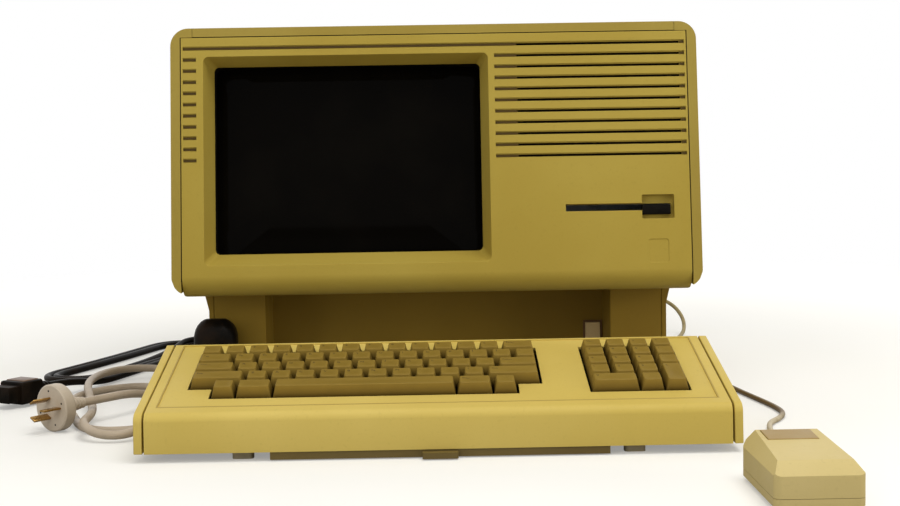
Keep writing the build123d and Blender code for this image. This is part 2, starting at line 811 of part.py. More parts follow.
# Rear connector plate with its sockets
plate_y = base_rear + seat_gap
jack_z = 58.0
jack_rise = 5.0
serial_x = (-78.0, -8.0, 62.0)
mouse_jack_x = 185.0
audio_jack_x = 128.0
inlet_x = -150.0
reset_z = 30.0
reset_radius = 4.0
reset_length = 5.0
reset_travel = 0.8
with BuildPart() as rear_connectors:
    with BuildSketch(Plane.XZ.offset(-plate_y)):
        with Locations((0, 53)):
            Rectangle(404, 84)
    extrude(amount=-2)
    with BuildSketch(Plane.XZ.offset(-(plate_y + 2))):
        for jack_x in serial_x:
            with Locations((jack_x, jack_z)):
                RectangleRounded(53, 12.5, 2)
        with Locations((mouse_jack_x, jack_z)):
            RectangleRounded(31, 12.5, 2)
        with Locations((audio_jack_x, jack_z)):
            Circle(6)
        with Locations((inlet_x, jack_z)):
            RectangleRounded(48, 30, 3)
    extrude(amount=-jack_rise)
    with BuildSketch(Plane.XZ.offset(-plate_y)):
        with Locations((audio_jack_x, reset_z)):
            Circle(reset_radius + seat_gap)
    extrude(amount=-2, mode=Mode.SUBTRACT)
finish(rear_connectors, "rear_connectors")
jack_face = plate_y + 2 + jack_rise

with BuildPart() as reset_button:
    with BuildSketch(Plane.XZ.offset(-(plate_y + reset_travel + seat_gap))):
        with Locations((audio_jack_x, reset_z)):
            Circle(reset_radius)
    extrude(amount=-reset_length)
finish(reset_button, "reset_button")

# Keyboard case, an open-bottomed wedge with wells for the keys
case_front_top = on_deck(-rows_depth - case_ahead)
case_rear_top = on_deck(case_behind)
case_outline = [
    (case_rear_top[0] - case_front_lean, case_bottom),
    case_rear_top,
    case_front_top,
    (case_front_top[0] - case_front_lean, case_bottom),
]
case_half = keyboard_half - end_cap - end_groove
with BuildPart() as keyboard_top_case:
    with BuildSketch(Plane.YZ.offset(keyboard_x - case_half)) as outline:
        with BuildLine():
            Polyline(*case_outline, close=True)
        make_face()
        fillet(outline.vertices().sort_by(Axis.Y).sort_by(Axis.X)[1], case_front_radius)
        fillet(outline.vertices().sort_by(Axis.Y)[-1], case_rear_radius)
    extrude(amount=2 * case_half)
    with BuildSketch(Plane.YZ.offset(keyboard_x - case_half + case_wall)):
        with BuildLine():
            Polyline(*case_outline, close=True)
        make_face()
        offset(amount=-case_wall, kind=Kind.INTERSECTION, mode=Mode.REPLACE)
        with Locations(((case_outline[0][0] + case_outline[3][0]) / 2, case_bottom + case_wall)):
            Rectangle(case_outline[0][0] - case_outline[3][0] - 2.2 * case_wall, 3 * case_wall)
    extrude(amount=2 * (case_half - case_wall), mode=Mode.SUBTRACT)
    with BuildSketch(key_plane):
        with Locations(((deck_left + deck_right) / 2, (deck_front + deck_rear) / 2)):
            Rectangle(deck_right - deck_left, deck_rear - deck_front)
    extrude(amount=-panel_step, mode=Mode.SUBTRACT)
    with BuildSketch(key_plane):
        with Locations(((key_left + block_right) / 2, -2 * key_pitch)):
            Rectangle(block_right - key_left + 2 * well_gap, 4 * key_pitch + 2 * well_gap)
        with Locations(((key_left + block_right) / 2, -rows_depth / 2)):
            Rectangle(block_right - key_left - 2 * key_pitch + 2 * well_gap, rows_depth + 2 * well_gap)
        with Locations(((pad_left + pad_right) / 2, -rows_depth / 2)):
            Rectangle(pad_right - pad_left + 2 * well_gap, rows_depth + 2 * well_gap)
    extrude(amount=-3 * case_wall, mode=Mode.SUBTRACT)
finish(keyboard_top_case, "keyboard_top_case")

# End caps, each outboard of a dark groove
with BuildPart() as keyboard_end_caps:
    for cap_x in (keyboard_x - keyboard_half, keyboard_x + keyboard_half - end_cap):
        with BuildSketch(Plane.YZ.offset(cap_x)) as outline:
            with BuildLine():
                Polyline(*case_outline, close=True)
            make_face()
            fillet(outline.vertices().sort_by(Axis.Y).sort_by(Axis.X)[1], case_front_radius)
            fillet(outline.vertices().sort_by(Axis.Y)[-1], case_rear_radius)
        extrude(amount=end_cap)
    with BuildSketch(Plane.YZ.offset(keyboard_x - keyboard_half + end_cap)):
        with Locations((key_rear_y - 40, 28)):
            Rectangle(60, 12)
    extrude(amount=end_groove - seat_gap)
    with BuildSketch(Plane.YZ.offset(keyboard_x + keyboard_half - end_cap)):
        with Locations((key_rear_y - 40, 28)):
            Rectangle(60, 12)
    extrude(amount=-(end_groove - seat_gap))
finish(keyboard_end_caps, "keyboard_end_caps")

# Bottom plate, with four pillars that carry the switch plate
plate_front = case_outline[3][0] + case_wall + seat_gap + 0.6
plate_rear = case_outline[0][0] - case_wall - seat_gap - 0.6
with BuildPart() as keyboard_bottom_case:
    with BuildSketch(Plane.XY.offset(case_bottom)):
        with Locations((keyboard_x, (plate_front + plate_rear) / 2)):
            Rectangle(2 * (case_half - case_wall - seat_gap), plate_rear - plate_front)
    extrude(amount=2.5)
    with BuildSketch(Plane.XY.offset(case_bottom + 2.5)):
        with Locations((keyboard_x, on_deck(-rows_depth / 2, -switch_plate_depth)[0])):
            with GridLocations(400, 80, 2, 2):
                Circle(4)
    extrude(amount=key_rear_z)
    under_plate = key_plane.offset(-(switch_plate_depth + switch_plate + seat_gap))
    split(bisect_by=under_plate, keep=Keep.BOTTOM)
finish(keyboard_bottom_case, "keyboard_bottom_case")

with BuildPart() as keyboard_feet:
    with BuildSketch():
        for foot_x_key in (keyboard_x - keyboard_foot_x, keyboard_x + keyboard_foot_x):
            for foot_y_key in (plate_front + 12, plate_rear - 12):
                with Locations((foot_x_key, foot_y_key)):
                    RectangleRounded(16, 10, 3)
    extrude(amount=case_bottom)
finish(keyboard_feet, "keyboard_feet")

# Card tray under the front edge, with its pull tab, and the cards in it
tray_x = (tray_left + tray_right) / 2
tray_front = case_outline[3][0] + 1.0
tray_top = case_bottom - seat_gap
with BuildPart() as card_tray:
    with BuildSketch(Plane.XY.offset(tray_bottom)):
        with Locations((tray_x, tray_front + tray_length / 2)):
            Rectangle(tray_right - tray_left, tray_length)
    extrude(amount=tray_top - tray_bottom)
    with BuildSketch(Plane.XY.offset(tray_bottom + 1.2)):
        with Locations((tray_x, tray_front + tray_length / 2)):
            Rectangle(tray_right - tray_left - 6, tray_length - 6)
    extrude(amount=tray_top, mode=Mode.SUBTRACT)
    with BuildSketch(Plane.XY.offset(tray_bottom)):
        with Locations((tray_x, tray_front - 3)):
            RectangleRounded(tray_tab, 10, 2)
    extrude(amount=tray_top - tray_bottom - 1)
finish(card_tray, "card_tray")
with BuildPart() as reference_cards:
    for layer in range(3):
        with BuildSketch(Plane.XY.offset(tray_bottom + 1.2 + seat_gap + layer * (card_thickness + 0.2))):
            with Locations((tray_x, tray_front + tray_length / 2)):
                Rectangle(tray_right - tray_left - 12, tray_length - 12 - 4 * layer)
        extrude(amount=card_thickness)
finish(reference_cards, "reference_cards")


# Keys. Each entry is the left edge, the row and the size, in key pitches
def row_of(start, row, widths):
    """Keys side by side from one start, as (left, top row, width, height)."""
    keys = []
    for width in widths:
        keys.append((start, row, width, 1))
        start += width
    return keys


first_row = row_of(0, 0, [1] * 13 + [1.5])
second_row = row_of(0, 1, [1.5] + [1] * 13)
third_row = row_of(0, 2, [1.75] + [1] * 11 + [1.75])
fourth_row = row_of(0, 3, [2.25] + [1] * 10 + [2.25])
fifth_row = row_of(1, 4, [1, 1.5, 7.5, 1.5, 1])
pad_keys = []
for row in range(3):
    pad_keys += row_of(16.5, row, [1] * 4)
pad_keys += row_of(16.5, 3, [1] * 3)
pad_keys += row_of(18.5, 4, [1])
key_groups = {
    "keys_row_1": first_row[:-1],
    "backspace_key": first_row[-1:],
    "tab_key": second_row[:1],
    "keys_row_2": second_row[1:],
    "caps_lock_key": third_row[:1],
    "keys_row_3": third_row[1:-1],
    "return_key": third_row[-1:],
    "left_shift_key": fourth_row[:1],
    "keys_row_4": fourth_row[1:-1],
    "right_shift_key": fourth_row[-1:],
    "command_keys": fifth_row[:2] + fifth_row[3:],
    "space_bar": fifth_row[2:3],
    "number_pad_keys": pad_keys,
    "pad_enter_key": [(19.5, 3, 1, 2)],
    "pad_zero_key": [(16.5, 4, 2, 1)],
}


def key_middle(key):
    """The middle of a key across the deck and up it."""
    left, row, width, height = key
    return (key_left + (left + width / 2) * key_pitch, -(row + height / 2) * key_pitch)


def key_cap(width, height):
    """A cap about its own middle: drawn-in sides, a dished top and a post underneath."""
    across = width * key_pitch - key_gap
    along = height * key_pitch - key_gap
    with BuildPart(mode=Mode.PRIVATE) as cap:
        with BuildSketch(Plane.XY.offset(-key_sink)):
            RectangleRounded(across, along, 1)
        with BuildSketch(Plane.XY.offset(key_rise)):
            with Locations((0, 0.6)):
                RectangleRounded(across - 2 * key_top_share_in, along - 2 * key_top_share_in + 0.6, 1.6)
        loft()
        dish = Location((0, 0, key_rise + key_dish - 1.2), (90, 0, 0))
        if width <= 1.5:
            with Locations(dish):
                Cylinder(key_dish, 3 * key_pitch, mode=Mode.SUBTRACT)
        with BuildSketch(Plane.XY.offset(-key_sink)):
            Rectangle(key_post, key_post)
        extrude(amount=-(switch_plate_depth - key_sink + switch_plate - 0.3))
    return cap.part


cap_shapes = {}
for name, keys in key_groups.items():
    with BuildPart() as key_group:
        for key in keys:
            size = key[2:]
            if size not in cap_shapes:
                cap_shapes[size] = key_cap(*size)
            across, run = key_middle(key)
            with Locations(key_plane * Location((across, run, 0))):
                add(cap_shapes[size])
    finish(key_group, name)

# Switch plate: a sheet under the wells, with a square hole for each key's post
with BuildPart() as key_switch_plate:
    with BuildSketch(key_plane.offset(-switch_plate_depth)):
        with Locations(((key_left + pad_right) / 2, -rows_depth / 2)):
            Rectangle(pad_right - key_left + 20, rows_depth + 12)
        for keys in key_groups.values():
            for key in keys:
                with Locations(key_middle(key)):
                    Rectangle(key_post + 2 * post_gap, key_post + 2 * post_gap, mode=Mode.SUBTRACT)
    extrude(amount=-switch_plate)
finish(key_switch_plate, "key_switch_plate")


# Mouse: a faceted shell over a flat base, its ball, the roller on it and one button
def mouse_form(inset):
    """The outer form of the mouse above its seam, drawn in all round by this much."""
    front = mouse_front + inset
    rear = mouse_rear - inset
    left = mouse_left + inset
    right = mouse_right - inset
    with BuildPart(mode=Mode.PRIVATE) as form:
        with BuildSketch(Plane.YZ.offset(left)):
            with BuildLine():
                Polyline(
                    (front, mouse_seam),
                    (front, mouse_side_top - inset),
                    (front + 13, mouse_front_top - inset),
                    (rear - 6, mouse_rear_top - inset),
                    (rear, mouse_side_top + 4 - inset),
                    (rear, mouse_seam),
                    close=True,
                )
            make_face()
        extrude(amount=right - left)
        fillet(form.edges().filter_by(Axis.Z), max(5 - inset, 1))
        with BuildSketch(Plane.XZ.offset(-mouse_rear)):
            with BuildLine():
                Polyline(
                    (left, mouse_seam),
                    (left, mouse_side_top - inset),
                    (left + 8.5, mouse_rear_top + 1 - inset),
                    (right - 8.5, mouse_rear_top + 1 - inset),
                    (right, mouse_side_top - inset),
                    (right, mouse_seam),
                    close=True,
                )
            make_face()
        extrude(amount=mouse_rear - mouse_front, mode=Mode.INTERSECT)
    return form.part


button_rear = mouse_rear - 6 - 1.5
button_front = button_rear - mouse_button_length
cord_exit_z = 14.0
with BuildPart() as mouse_top_shell:
    add(mouse_form(0))
    add(mouse_form(mouse_wall), mode=Mode.SUBTRACT)
    with BuildSketch(Plane.XY.offset(mouse_front_top)):
        with Locations(((mouse_button_left + mouse_button_right) / 2, (button_front + button_rear) / 2)):
            Rectangle(mouse_button_right - mouse_button_left, mouse_button_length)
    extrude(amount=2 * mouse_wall, both=True, mode=Mode.SUBTRACT)
    with BuildSketch(Plane.XZ.offset(-(mouse_rear - 1))):
        with Locations((mouse_x, cord_exit_z)):
            Circle(4.2)
    extrude(amount=-9)
finish(mouse_top_shell, "mouse_top_shell")

with BuildPart() as mouse_bottom_shell:
    with BuildSketch(Plane.XY.offset(mouse_skid)):
        with Locations((mouse_x, (mouse_front + mouse_rear) / 2)):
            RectangleRounded(mouse_right - mouse_left, mouse_rear - mouse_front, 5)
    extrude(amount=mouse_seam - mouse_skid - seat_gap)
    chamfer(mouse_bottom_shell.faces().sort_by(Axis.Z)[0].edges(), 2.5)
    with BuildSketch(Plane.XY.offset(mouse_skid + 3)):
        with Locations((mouse_x, (mouse_front + mouse_rear) / 2)):
            RectangleRounded(
                mouse_right - mouse_left - 2 * mouse_wall, mouse_rear - mouse_front - 2 * mouse_wall, 3
            )
    extrude(amount=mouse_seam, mode=Mode.SUBTRACT)
    roller_y = ball_y + ball_radius + roller_radius
    with BuildSketch(Plane.XY.offset(mouse_skid + 3)):
        with Locations((mouse_x - 8.3, roller_y), (mouse_x + 8.3, roller_y)):
            Rectangle(1.6, 5)
    extrude(amount=9.5)
    with BuildSketch():
        with Locations((mouse_x, (mouse_front + mouse_rear) / 2)):
            with GridLocations(44, 84, 2, 2):
                Circle(3)
    extrude(amount=mouse_skid)
    with BuildSketch():
        with Locations((mouse_x, ball_y)):
            Circle(ball_radius - 1.5)
    extrude(amount=2 * mouse_skid + 2, mode=Mode.SUBTRACT)
    with Locations((mouse_x, roller_y, ball_radius + seat_gap)):
        Cylinder(1.3, 24, rotation=(0, 90, 0), mode=Mode.SUBTRACT)
finish(mouse_bottom_shell, "mouse_bottom_shell")

with BuildPart() as mouse_button:
    button_slope = (mouse_rear_top - mouse_front_top) / (mouse_rear - mouse_front - 19)
    with BuildSketch(Plane.YZ.offset(mouse_button_left + seat_gap)):
        with BuildLine():
            back_z = mouse_rear_top - button_slope * 1.5 + 0.5
            front_z = back_z - button_slope * mouse_button_length
            Polyline(
                (button_front + seat_gap, front_z),
                (button_rear - seat_gap, back_z),
                (button_rear - seat_gap, back_z - 3.4),
                (button_front + seat_gap, front_z - 3.4),
                close=True,
            )
        make_face()
    extrude(amount=mouse_button_right - mouse_button_left - 2 * seat_gap)
finish(mouse_button, "mouse_button")

with BuildPart() as mouse_ball:
    with Locations((mouse_x, ball_y, ball_radius + seat_gap)):
        Sphere(ball_radius)
finish(mouse_ball, "mouse_ball")

with BuildPart() as mouse_roller:
    with Locations((mouse_x, roller_y + seat_gap, ball_radius + seat_gap)):
        Cylinder(roller_radius, 12, rotation=(0, 90, 0))
        Cylinder(1.0, 21, rotation=(0, 90, 0))
    with Locations((mouse_x + 11, roller_y + seat_gap, ball_radius + seat_gap)):
        Cylinder(7, 1.2, rotation=(0, 90, 0))
finish(mouse_roller, "mouse_roller")


# Cords: tubes along chosen points, straight runs joined by tangent arcs
def bend_radii(points):
    """The radius at each inner point: a share of the shorter run over half the turn's tangent."""
    radii = []
    for before, here, after in zip(points, points[1:], points[2:]):
        run_in = Vector(*here) - Vector(*before)
        run_out = Vector(*after) - Vector(*here)
        half_turn = math.radians(run_in.get_angle(run_out)) / 2
        radii.append(sharpest_share * min(run_in.length, run_out.length) / math.tan(half_turn))
    return radii


def least_gap(line, diameter, step=1.5):
    """The least gap between stretches of one cord, on points, leaving out what is next along it."""
    count = int(line.length / step)
    places = [tuple(place) for place in line.positions([i / count for i in range(count + 1)])]
    beside = int(4 * diameter / step)
    least = math.inf
    for i, here in enumerate(places):
        for there in places[i + beside :]:
            least = min(least, math.dist(here, there))
    return least - diameter


def cord_tube(points, diameter, name):
    """Sweep one cord and print its length, its tightest bend and how full its volume is."""
    radii = bend_radii(points)
    with BuildPart() as tube:
        with BuildLine() as route:
            FilletPolyline(*points, radius=radii)
        line = route.wires()[0]
        with BuildSketch(Plane(origin=line @ 0, z_dir=line % 0)):
            Circle(diameter / 2)
        sweep(path=line)
    finish(tube, name)
    full = line.length * math.pi * diameter**2 / 4
    print(f"{name}: {line.length:.0f} mm, tightest {min(radii):.1f} mm, volume {tube.part.volume / full:.4f}")
    print("  radii", " ".join(f"{radius:.0f}" for radius in radii))
    print(f"  least gap to itself {least_gap(line, diameter):.2f} mm")


mouse_plug_end = jack_face + 46.0
mouse_cord_points = [
    (mouse_x, mouse_rear + 8, cord_exit_z),
    (mouse_x, mouse_rear + 26, cord_exit_z),
    (240, -440, 8),
    (246, -415, 3.2),
    (254, -387, 2.5),
    (261, -357, 2.6),
    (265, -327, 2.5),
    (271, -303, 2.6),
    (283, -286, 2.5),
    (293, -262, 2.6),
    (292, -230, 2.5),
    (285, -188, 2.6),
    (277, -138, 2.5),
    (270, -85, 2.6),
    (265, -28, 2.5),
    (262, 30, 2.6),
    (261, 88, 2.5),
    (264, 142, 2.6),
    (274, 188, 2.5),
    (289, 225, 3.5),
    (299, 250, 9),
    (301, 272, 21),
    (292, 291, 35),
    (270, 303, 45),
    (240, 305, 51),
    (210, 296, 55),
    (mouse_jack_x, 272, jack_z),
    (mouse_jack_x, mouse_plug_end, jack_z),
]
cord_tube(mouse_cord_points, mouse_cord_diameter, "mouse_cord")

with BuildPart() as mouse_cord_plug:
    with BuildSketch(Plane.XZ.offset(-(jack_face + seat_gap))):
        with Locations((mouse_jack_x, jack_z)):
            RectangleRounded(34, 15, 3)
    extrude(amount=-32)
    with BuildSketch(Plane.XZ.offset(-(jack_face + 32))):
        with Locations((mouse_jack_x, jack_z)):
            Circle(4.5)
    extrude(amount=-14)
finish(mouse_cord_plug, "mouse_cord_plug")

# Grey mains lead: two loose loops beside the keyboard, then back to the inlet
grey_plug_face = (-326.0, -275.0)
grey_plug_heading = (0.6, 0.8)
grey_plug_radius = 20.0
grey_plug_z = 20.5
grey_plug_length = 34.0
grey_connector_end = jack_face + 50.0
grey_start = (
    grey_plug_face[0] + grey_plug_heading[0] * grey_plug_length,
    grey_plug_face[1] + grey_plug_heading[1] * grey_plug_length,
    grey_plug_z,
)
grey_lead_points = [
    grey_start,
    (-291.6, -229.3, grey_plug_z),
    (-275, -203, 20),
    (-261, -171, 13),
    (-253, -138, 6),
    (-254, -108, 4),
    (-267, -82, 4),
    (-293, -68, 4.1),
    (-321, -81, 4),
    (-339, -108, 4.1),
    (-343, -144, 4),
    (-335, -186, 4.1),
    (-318, -230, 4),
    (-303, -272, 4.1),
    (-284, -294, 4),
    (-257, -295, 4.1),
    (-239.5, -276, 4),
    (-238.5, -238, 4.1),
    (-241.5, -188, 4),
    (-239.5, -138, 4.1),
    (-241, -88, 4),
    (-246, -42, 5),
    (-261, -9, 8),
    (-289, 5, 10.5),
    (-318, -5, 12.5),
    (-336, -34, 12.8),
    (-340, -75, 12.8),
    (-333, -120, 12.8),
    (-320, -166, 12.9),
    (-306, -212, 9),
    (-297, -258, 11),
    (-293.5, -307, 13.2),
    (-277.5, -323.5, 7),
    (-254.6, -323.5, 6),
    (-238.6, -307, 10.5),
    (-238.5, -272, 12.8),
    (-239.5, -234, 13),
    (-241.5, -188, 12.8),
    (-239.5, -140, 13),
    (-240, -92, 12.8),
    (-238.8, -46, 12.6),
    (-240.5, 2, 6),
    (-245, 52, 4),
    (-246.5, 106, 4.1),
    (-246, 160, 4),
    (-245, 212, 4.5),
    (-236, 254, 8),
    (-213, 284, 20),
    (-184, 300, 37),
    (-158, 296, 52),
    (inlet_x, 270, jack_z),
    (inlet_x, grey_connector_end, jack_z),
]
cord_tube(grey_lead_points, mains_diameter, "grey_lead")

grey_plug_plane = Plane(
    origin=(grey_plug_face[0], grey_plug_face[1], grey_plug_z),
    x_dir=(grey_plug_heading[1], -grey_plug_heading[0], 0),
    z_dir=(grey_plug_heading[0], grey_plug_heading[1], 0),
)
with BuildPart() as grey_lead_ends:
    with BuildSketch(grey_plug_plane):
        Circle(grey_plug_radius)
    extrude(amount=13)
    along_plug = Axis(grey_plug_plane.origin, grey_plug_plane.z_dir)
    fillet(grey_lead_ends.edges().sort_by(along_plug)[-1], 4)
    with BuildSketch(grey_plug_plane.offset(12.9)):
        Circle(8)
    with BuildSketch(grey_plug_plane.offset(grey_plug_length)):
        Circle(5)
    loft()
    with BuildSketch(grey_plug_plane):
        for blade_x, blade_y, blade_angle in ((-3, -7.2, 60), (-3, 7.2, 120), (10, -1, 90)):
            with Locations(Location((blade_x, blade_y), blade_angle)):
                Rectangle(1.6, 6.4)
    extrude(amount=-17)
    with BuildSketch(Plane.XZ.offset(-(jack_face + seat_gap))):
        with Locations((inlet_x, jack_z)):
            RectangleRounded(28, 22, 4)
    extrude(amount=-30)
    with BuildSketch(Plane.XZ.offset(-(jack_face + 30))):
        with Locations((inlet_x, jack_z)):
            Circle(6)
    extrude(amount=-20)
finish(grey_lead_ends, "grey_lead_ends")

# Black mains lead: folded in five runs beside the unit, its plug by the left pillar
fold_start = Vector(-380, -30, 4)
fold_along = Vector(0.311, 0.950, 0)
fold_across = Vector(0.950, -0.311, 0)
fold_pitch = 8.8
fold_inner = 22.5
fold_near = 38.0             # middle of the turns at the near end, along the fold
fold_far = 250.0
fold_waist = 3.0
half_side = math.tan(math.pi / 8)


def fold_point(along, across, z=4.0):
    """A point given along the fold and across it."""
    place = fold_start + fold_along * along + fold_across * across
    return (place.X, place.Y, z)


def fold_lane(lane, towards_far, skip=0):
    """Points down one lane, drawn in a little at the middle of the fold."""
    side = 1 if lane > 0 else -1
    shares = (0.17, 0.5, 0.83)[skip:]
    points = []
    for share, drawn in zip(shares, (0.5, 1.0, 0.5)[skip:]):
        along = share if towards_far else 1 - share
        points.append(
            fold_point(fold_near + along * (fold_far - fold_near), lane - side * drawn * fold_waist)
        )
    return points


def fold_turn(lane_from, lane_to, far):
    """Four points round one end, as an eighth-turn each."""
    radius = abs(lane_from - lane_to) / 2
    middle = (lane_from + lane_to) / 2
    way = 1 if lane_from > lane_to else -1
    end = 1 if far else -1
    centre = fold_far if far else fold_near
    steps = ((half_side, 1), (1, half_side), (1, -half_side), (half_side, -1))
    return [
        fold_point(centre + end * along * radius, middle + way * across * radius)
        for along, across in steps
    ]


lanes = [
    fold_inner,
    -(fold_inner + fold_pitch / 2),
    fold_inner + fold_pitch,
    -(fold_inner + 1.5 * fold_pitch),
    fold_inner + 2 * fold_pitch,
]
black_plug_x = -205.0
black_plug_y = -153.0
black_plug_low = 40.0
black_plug_high = 79.0
black_lead_points = [
    (black_plug_x, black_plug_y, 30),
    (black_plug_x, black_plug_y, 16),
    (-211, -153, 6.5),
    (-223, -151, 4),
    (-229.5, -134, 4.1),
    (-229, -104, 4),
    (-226.5, -55, 4.1),
    (-228.5, 0, 4),
    (-227, 55, 4.1),
    (-229, 108, 5),
    (-232, 150, 10),
    (-240, 184, 13.5),
    (-257, 206, 13.5),
    (-280, 210, 13.5),
    (-296, 192, 13),
    (-301, 162, 8),
    fold_point(fold_near + 0.5 * (fold_far - fold_near), lanes[0] - fold_waist, 4.5),
] + fold_lane(lanes[0], False, 2)
for turn, (lane_from, lane_to) in enumerate(zip(lanes, lanes[1:])):
    far_end = turn % 2 == 1
    black_lead_points += fold_turn(lane_from, lane_to, far_end)
    black_lead_points += fold_lane(lane_to, not far_end)
black_connector_end = (-372.0, -112.0, 13.5)
black_lead_points += [
    fold_point(2, lanes[-1] + 1.5),
    (-357, -86, 13.5),
    black_connector_end,
]
cord_tube(black_lead_points, black_diameter, "black_lead")

connector_plane = Plane(
    origin=black_connector_end, x_dir=(0.866, -0.5, 0), z_dir=(-0.5, -0.866, 0)
)
with BuildPart() as black_lead_ends:
    with BuildSketch(connector_plane):
        Circle(5.5)
    extrude(amount=20)
    with BuildSketch(connector_plane.offset(20)):
        RectangleRounded(29, 21, 3)
    extrude(amount=26)
    with BuildSketch(connector_plane.offset(46)):
        Rectangle(23, 15)
    extrude(amount=14)
    with BuildSketch(Plane.XY.offset(30)):
        with Locations((black_plug_x, black_plug_y)):
            Circle(5.5)
    extrude(amount=black_plug_low - 30)
    with BuildSketch(Plane.XY.offset(black_plug_low)):
        with Locations((black_plug_x, black_plug_y)):
            RectangleRounded(40, 30, 12)
    extrude(amount=black_plug_high - black_plug_low)
    fillet(black_lead_ends.faces().sort_by(Axis.Z)[-1].edges(), 11)
    with BuildSketch(Plane.XZ.offset(-(black_plug_y + 15))):
        for pin_x in (-9.5, 9.5):
            with Locations((black_plug_x + pin_x, 60)):
                Circle(2.4)
    extrude(amount=-4.5)
finish(black_lead_ends, "black_lead_ends")
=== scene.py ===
import logging
import math
from collections.abc import Sequence
from dataclasses import dataclass
from enum import Enum

import bmesh
import bpy
import numpy as np
from mathutils import Matrix, Vector


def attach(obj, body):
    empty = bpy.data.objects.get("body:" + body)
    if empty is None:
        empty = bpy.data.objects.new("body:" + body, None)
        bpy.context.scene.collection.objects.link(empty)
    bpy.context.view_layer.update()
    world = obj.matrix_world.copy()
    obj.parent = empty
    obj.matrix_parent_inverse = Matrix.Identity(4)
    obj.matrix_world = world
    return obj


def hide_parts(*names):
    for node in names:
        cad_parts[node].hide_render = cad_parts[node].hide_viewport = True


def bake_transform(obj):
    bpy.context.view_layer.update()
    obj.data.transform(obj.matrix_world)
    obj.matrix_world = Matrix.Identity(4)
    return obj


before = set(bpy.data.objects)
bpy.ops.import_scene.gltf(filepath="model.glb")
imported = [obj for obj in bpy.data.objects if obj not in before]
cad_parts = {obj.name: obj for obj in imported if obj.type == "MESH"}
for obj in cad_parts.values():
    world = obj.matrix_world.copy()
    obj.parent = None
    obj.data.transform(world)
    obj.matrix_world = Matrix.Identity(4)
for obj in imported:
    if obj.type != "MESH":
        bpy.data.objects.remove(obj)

log = logging.getLogger("desktop_computer")
Colour = tuple[float, float, float]
Point = tuple[float, float, float]
Profile = tuple[tuple[float, float], ...]
MM = 0.001
PHOTO_WIDTH = 900
MERGE = 2e-6
EASED_FROM = math.radians(30)
FLAT_WITHIN = math.radians(0.6)
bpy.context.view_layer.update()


# ---------------------------------------------------------------- places


@dataclass(frozen=True)
class Seat:
    """A place to build on: an origin and three axes, all in the row frame.

    A local point (x, y, z) lies at origin + x * across + y * along + z * out.
    """

    origin: Point
    across: Point = (1.0, 0.0, 0.0)
    along: Point = (0.0, 1.0, 0.0)
    out: Point = (0.0, 0.0, 1.0)

    def put(self, points: np.ndarray) -> np.ndarray:
        """Carry local points into the row frame.

        Args:
            points: Local points in metres, with x, y and z on the last axis.

        Returns:
            The same points in the row frame.
        """
        axes = np.array([self.across, self.along, self.out])
        return np.array(self.origin) + np.asarray(points) @ axes

    def moved(self, x: float, y: float, z: float = 0.0) -> "Seat":
        """The same axes about another local point."""
        return Seat(tuple(self.put(np.array([x, y, z]))), self.across, self.along, self.out)


FACE_TILT = math.radians(8.0)
DECK_SLOPE = math.radians(12.86)
FACE = Seat(
    (0.0, -0.193, 0.105),
    along=(0.0, math.sin(FACE_TILT), math.cos(FACE_TILT)),
    out=(0.0, -math.cos(FACE_TILT), math.sin(FACE_TILT)),
)
DECK = Seat(
    (0.0, -0.2769, 0.0648),
    along=(0.0, math.cos(DECK_SLOPE), math.sin(DECK_SLOPE)),
    out=(0.0, -math.sin(DECK_SLOPE), math.cos(DECK_SLOPE)),
)


def rear_seat(place: Point) -> Seat:
    """A place on the unit's rear, seen from behind: x to the right, y up and z outwards."""
    return Seat(place, across=(-1.0, 0.0, 0.0), along=(0.0, 0.0, 1.0), out=(0.0, 1.0, 0.0))


# ---------------------------------------------------------------- finishes


